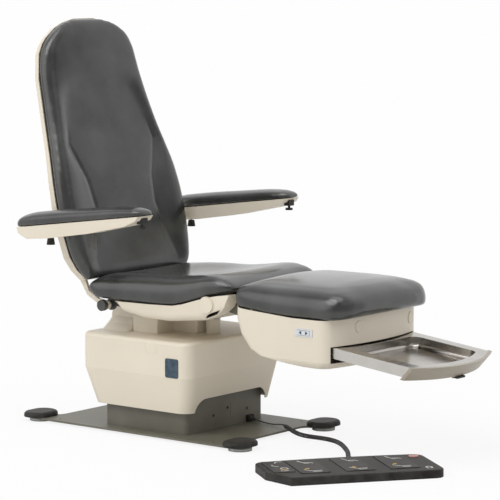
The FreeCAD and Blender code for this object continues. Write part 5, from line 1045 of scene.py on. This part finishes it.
# %% Darts on the side rolls of the back
DART_UP, DART_DROP, DART_RUN, DART_STEPS = 0.645, 0.012, 0.062, 16
DART_START, DART_LEAN, DART_LIFT = 0.094, 1.15, 0.0002
ROLL_MIDDLE = 0.19
pad_tree = BVHTree.FromPolygons([vertex.co for vertex in back_pad.data.vertices],
                                [tuple(face.vertices) for face in back_pad.data.polygons])
for side, name in ((-1, "right"), (1, "left")):
    line = []
    for step in range(DART_STEPS + 1):
        share = step / DART_STEPS
        up, run = (DART_UP - DART_DROP * share) * BACK_LENGTH, DART_RUN * share
        start = Vector(on_back(side * WELL_ASIDE, up, DART_START - run))
        middle = Vector(on_back(side * ROLL_MIDDLE, up, DART_START - run * DART_LEAN))
        place, normal, _, _ = pad_tree.ray_cast(start, (middle - start).normalized())
        if place is not None:
            line.append(tuple(place + normal * DART_LIFT))
    sewn("dart_stitches_" + name, line, "back")

# %% [markdown]
# ## Strain reliefs and the tower's seam
# The lead leaves its plug through a tapered rubber sleeve, and a second sleeve joins it to the
# curled cord. Both are rings about the cord's own line, every other one a little smaller, as on a
# real ribbed sleeve. A pressed seam runs up the tower's front, drawn as a thin dark strip whose
# colour is painted shade.

# %% Sleeves on the cord
SLEEVE_STEPS, SLEEVE_RIBS, RIB_SHARE = 16, 10, 0.12


def sleeve(name, line, reach, radii):
    """A tapered ribbed tube along the start of a smooth line."""
    points, travelled, index = [], 0.0, 0
    for number in range(SLEEVE_RIBS + 1):
        target = reach * number / SLEEVE_RIBS
        while index < len(line) - 2 and travelled + (line[index + 1] - line[index]).length < target:
            travelled += (line[index + 1] - line[index]).length
            index += 1
        along = (line[index + 1] - line[index]).normalized()
        centre = line[index] + along * (target - travelled)
        side = along.cross(Vector((0, 0, 1))).normalized()
        up = side.cross(along).normalized()
        radius = radii[0] + (radii[1] - radii[0]) * number / SLEEVE_RIBS
        radius *= 1.0 - RIB_SHARE * (number % 2)
        points += [centre + (side * math.cos(turn) + up * math.sin(turn)) * radius
                   for turn in (2 * math.pi * step / SLEEVE_STEPS for step in range(SLEEVE_STEPS))]
    mesh_piece(name, points, ring_walls(SLEEVE_RIBS + 1, SLEEVE_STEPS), "base", "cable_jacket",
               jacket, smooth=True)
    print(name, "over", round(reach, 3), "m")


sleeve("plug_sleeve", line_of(LEAD_ROUTE), 30 * MM, (5.6 * MM, 3.4 * MM))
sleeve("curl_sleeve", coil_line, 16 * MM, (3.6 * MM, 6.4 * MM))

# %% The tower's pressed seam, a dark strip of painted shade
# The seam's dark colour is painted shade of its groove, not a paint of its own.
seam_painted_shade = painted("seam_shadow", srgb(44, 43, 38), 0.7, drift=0.04, blot=0.02, edge=0)
SEAM_HALF, SEAM_LOW, SEAM_HIGH, SEAM_X, TOWER_FRONT = 0.6 * MM, 0.060, 0.119, 0.030, -0.233
SEAM_SUNK, SEAM_PROUD = 0.6 * MM, 0.2 * MM
corners = [(SEAM_X + across * SEAM_HALF, TOWER_FRONT + deep, high)
           for deep in (SEAM_SUNK, -SEAM_PROUD) for across, high in (
               (-1, SEAM_LOW), (1, SEAM_LOW), (1, SEAM_HIGH), (-1, SEAM_HIGH))]
mesh_piece("tower_seam", corners, BLOCK_FACES, "base", "grey_green_paint", seam_painted_shade)

# %% [markdown]
# ## Studio
# A wide pale floor and an even white surround, with one broad lamp high on the side of the camera
# that lights the chair's near flank, and a weaker one from the front. The camera sees the surround
# as plain white, while it lights the chair less strongly, so the background stays white without
# washing the colours out. Gloss needs something to mirror: it sees a white backdrop behind the
# chair, two light boxes and a dimmer room.

# %% The floor
# The camera sees it as mostly white paper, and the rest of it as a surface that takes shadow.
FLOOR_REACH = 160.0
FLOOR_GLOW = 0.86

floor_mesh = bpy.data.meshes.new("floor")
floor_mesh.from_pydata([(x * FLOOR_REACH, y * FLOOR_REACH, 0.0)
                        for x, y in ((-1, -1), (1, -1), (1, 1), (-1, 1))], [], [(0, 1, 2, 3)])
floor_tree = Tree("floor_paint")
floor_tree.shader.inputs["Base Color"].default_value = srgb(244, 244, 243)
floor_tree.shader.inputs["Roughness"].default_value = 0.9
glow = floor_tree.add("ShaderNodeEmission")
blend = floor_tree.add("ShaderNodeMixShader")
floor_paths = floor_tree.add("ShaderNodeLightPath")
share = floor_tree.add("ShaderNodeMath", operation="MULTIPLY")
share.inputs[1].default_value = FLOOR_GLOW
floor_tree.join(floor_paths.outputs["Is Camera Ray"], share, 0)
floor_tree.join(share.outputs[0], blend, 0)
floor_tree.join(floor_tree.shader.outputs[0], blend, 1)
floor_tree.join(glow.outputs[0], blend, 2)
floor_tree.join(blend.outputs[0], floor_tree.nodes["Material Output"], "Surface")
floor = add_object("floor", floor_mesh, floor_tree.material)

# %% Helpers for the surround
AMBIENT = 0.62
ROOM_GLOSS = 0.3
GLOSS_BOXES = [(Vector((-0.2, -0.1, 1)), 0.82, 0.97, 2.2),
               (Vector((-1, 0.6, 0.5)), 0.86, 0.98, 1.6)]

world = bpy.data.worlds.new("studio")
scene.world = world
world.use_nodes = True
world_nodes = world.node_tree.nodes
background = world_nodes["Background"]
paths = world_nodes.new("ShaderNodeLightPath")


def world_math(operation, first, second):
    """One sum of the surround's tree, from sockets or numbers."""
    node = world_nodes.new("ShaderNodeMath")
    node.operation = operation
    for socket, value in zip(node.inputs, (first, second)):
        if isinstance(value, (int, float)):
            socket.default_value = value
        else:
            world.node_tree.links.new(value, socket)
    return node.outputs[0]


def facing(towards, low, high):
    """How nearly a ray points a way, from 0 to 1, eased."""
    dot = world_nodes.new("ShaderNodeVectorMath")
    dot.operation = "DOT_PRODUCT"
    dot.inputs[1].default_value = towards.normalized()
    world.node_tree.links.new(way.outputs["Generated"], dot.inputs[0])
    spread = world_nodes.new("ShaderNodeMapRange")
    spread.interpolation_type = "SMOOTHSTEP"
    spread.inputs["From Min"].default_value = low
    spread.inputs["From Max"].default_value = high
    world.node_tree.links.new(dot.outputs["Value"], spread.inputs["Value"])
    return spread.outputs["Result"]


def either(share, first, second):
    """The first value where the share is 0 and the second where it is 1."""
    return world_math("ADD", world_math("MULTIPLY", world_math("SUBTRACT", 1.0, share), first),
                      world_math("MULTIPLY", share, second))


# %% What gloss mirrors, and what lights the chair
way = world_nodes.new("ShaderNodeTexCoord")
mirrored = world_math("ADD", ROOM_GLOSS, world_math(
    "MULTIPLY", facing(-towards_camera, -0.25, 0.35), 1.0 - ROOM_GLOSS))
for towards, low, high, power in GLOSS_BOXES:
    box = world_math("MULTIPLY", facing(towards, low, high), power)
    mirrored = world_math("ADD", mirrored, box)
glossy = world_math("MAXIMUM", paths.outputs["Is Glossy Ray"],
                    paths.outputs["Is Transmission Ray"])
strength = either(paths.outputs["Is Camera Ray"], either(glossy, AMBIENT, mirrored), 1.0)
background.inputs["Color"].default_value = (1, 1, 1, 1)
world.node_tree.links.new(strength, background.inputs["Strength"])


# %% Lamps
KEY_STRENGTH = 1.25
KEY_FROM = Vector((-1.0, 0.15, 1.15))
FILL_STRENGTH = 0.35
FILL_FROM = Vector((0.2, -1.0, 1.3))


def sun(name, power, towards, softness):
    """A broad lamp that shines from a direction."""
    data = bpy.data.lights.new(name, "SUN")
    data.energy = power
    data.angle = math.radians(softness)
    lamp = bpy.data.objects.new(name, data)
    scene.collection.objects.link(lamp)
    lamp.rotation_mode = "QUATERNION"
    lamp.rotation_quaternion = towards.normalized().to_track_quat("Z", "Y")


sun("key_lamp", KEY_STRENGTH, KEY_FROM, 40)
sun("fill_lamp", FILL_STRENGTH, FILL_FROM, 60)
scene.view_settings.view_transform = "Standard"
print("studio: surround", AMBIENT, "key", KEY_STRENGTH, "fill", FILL_STRENGTH)
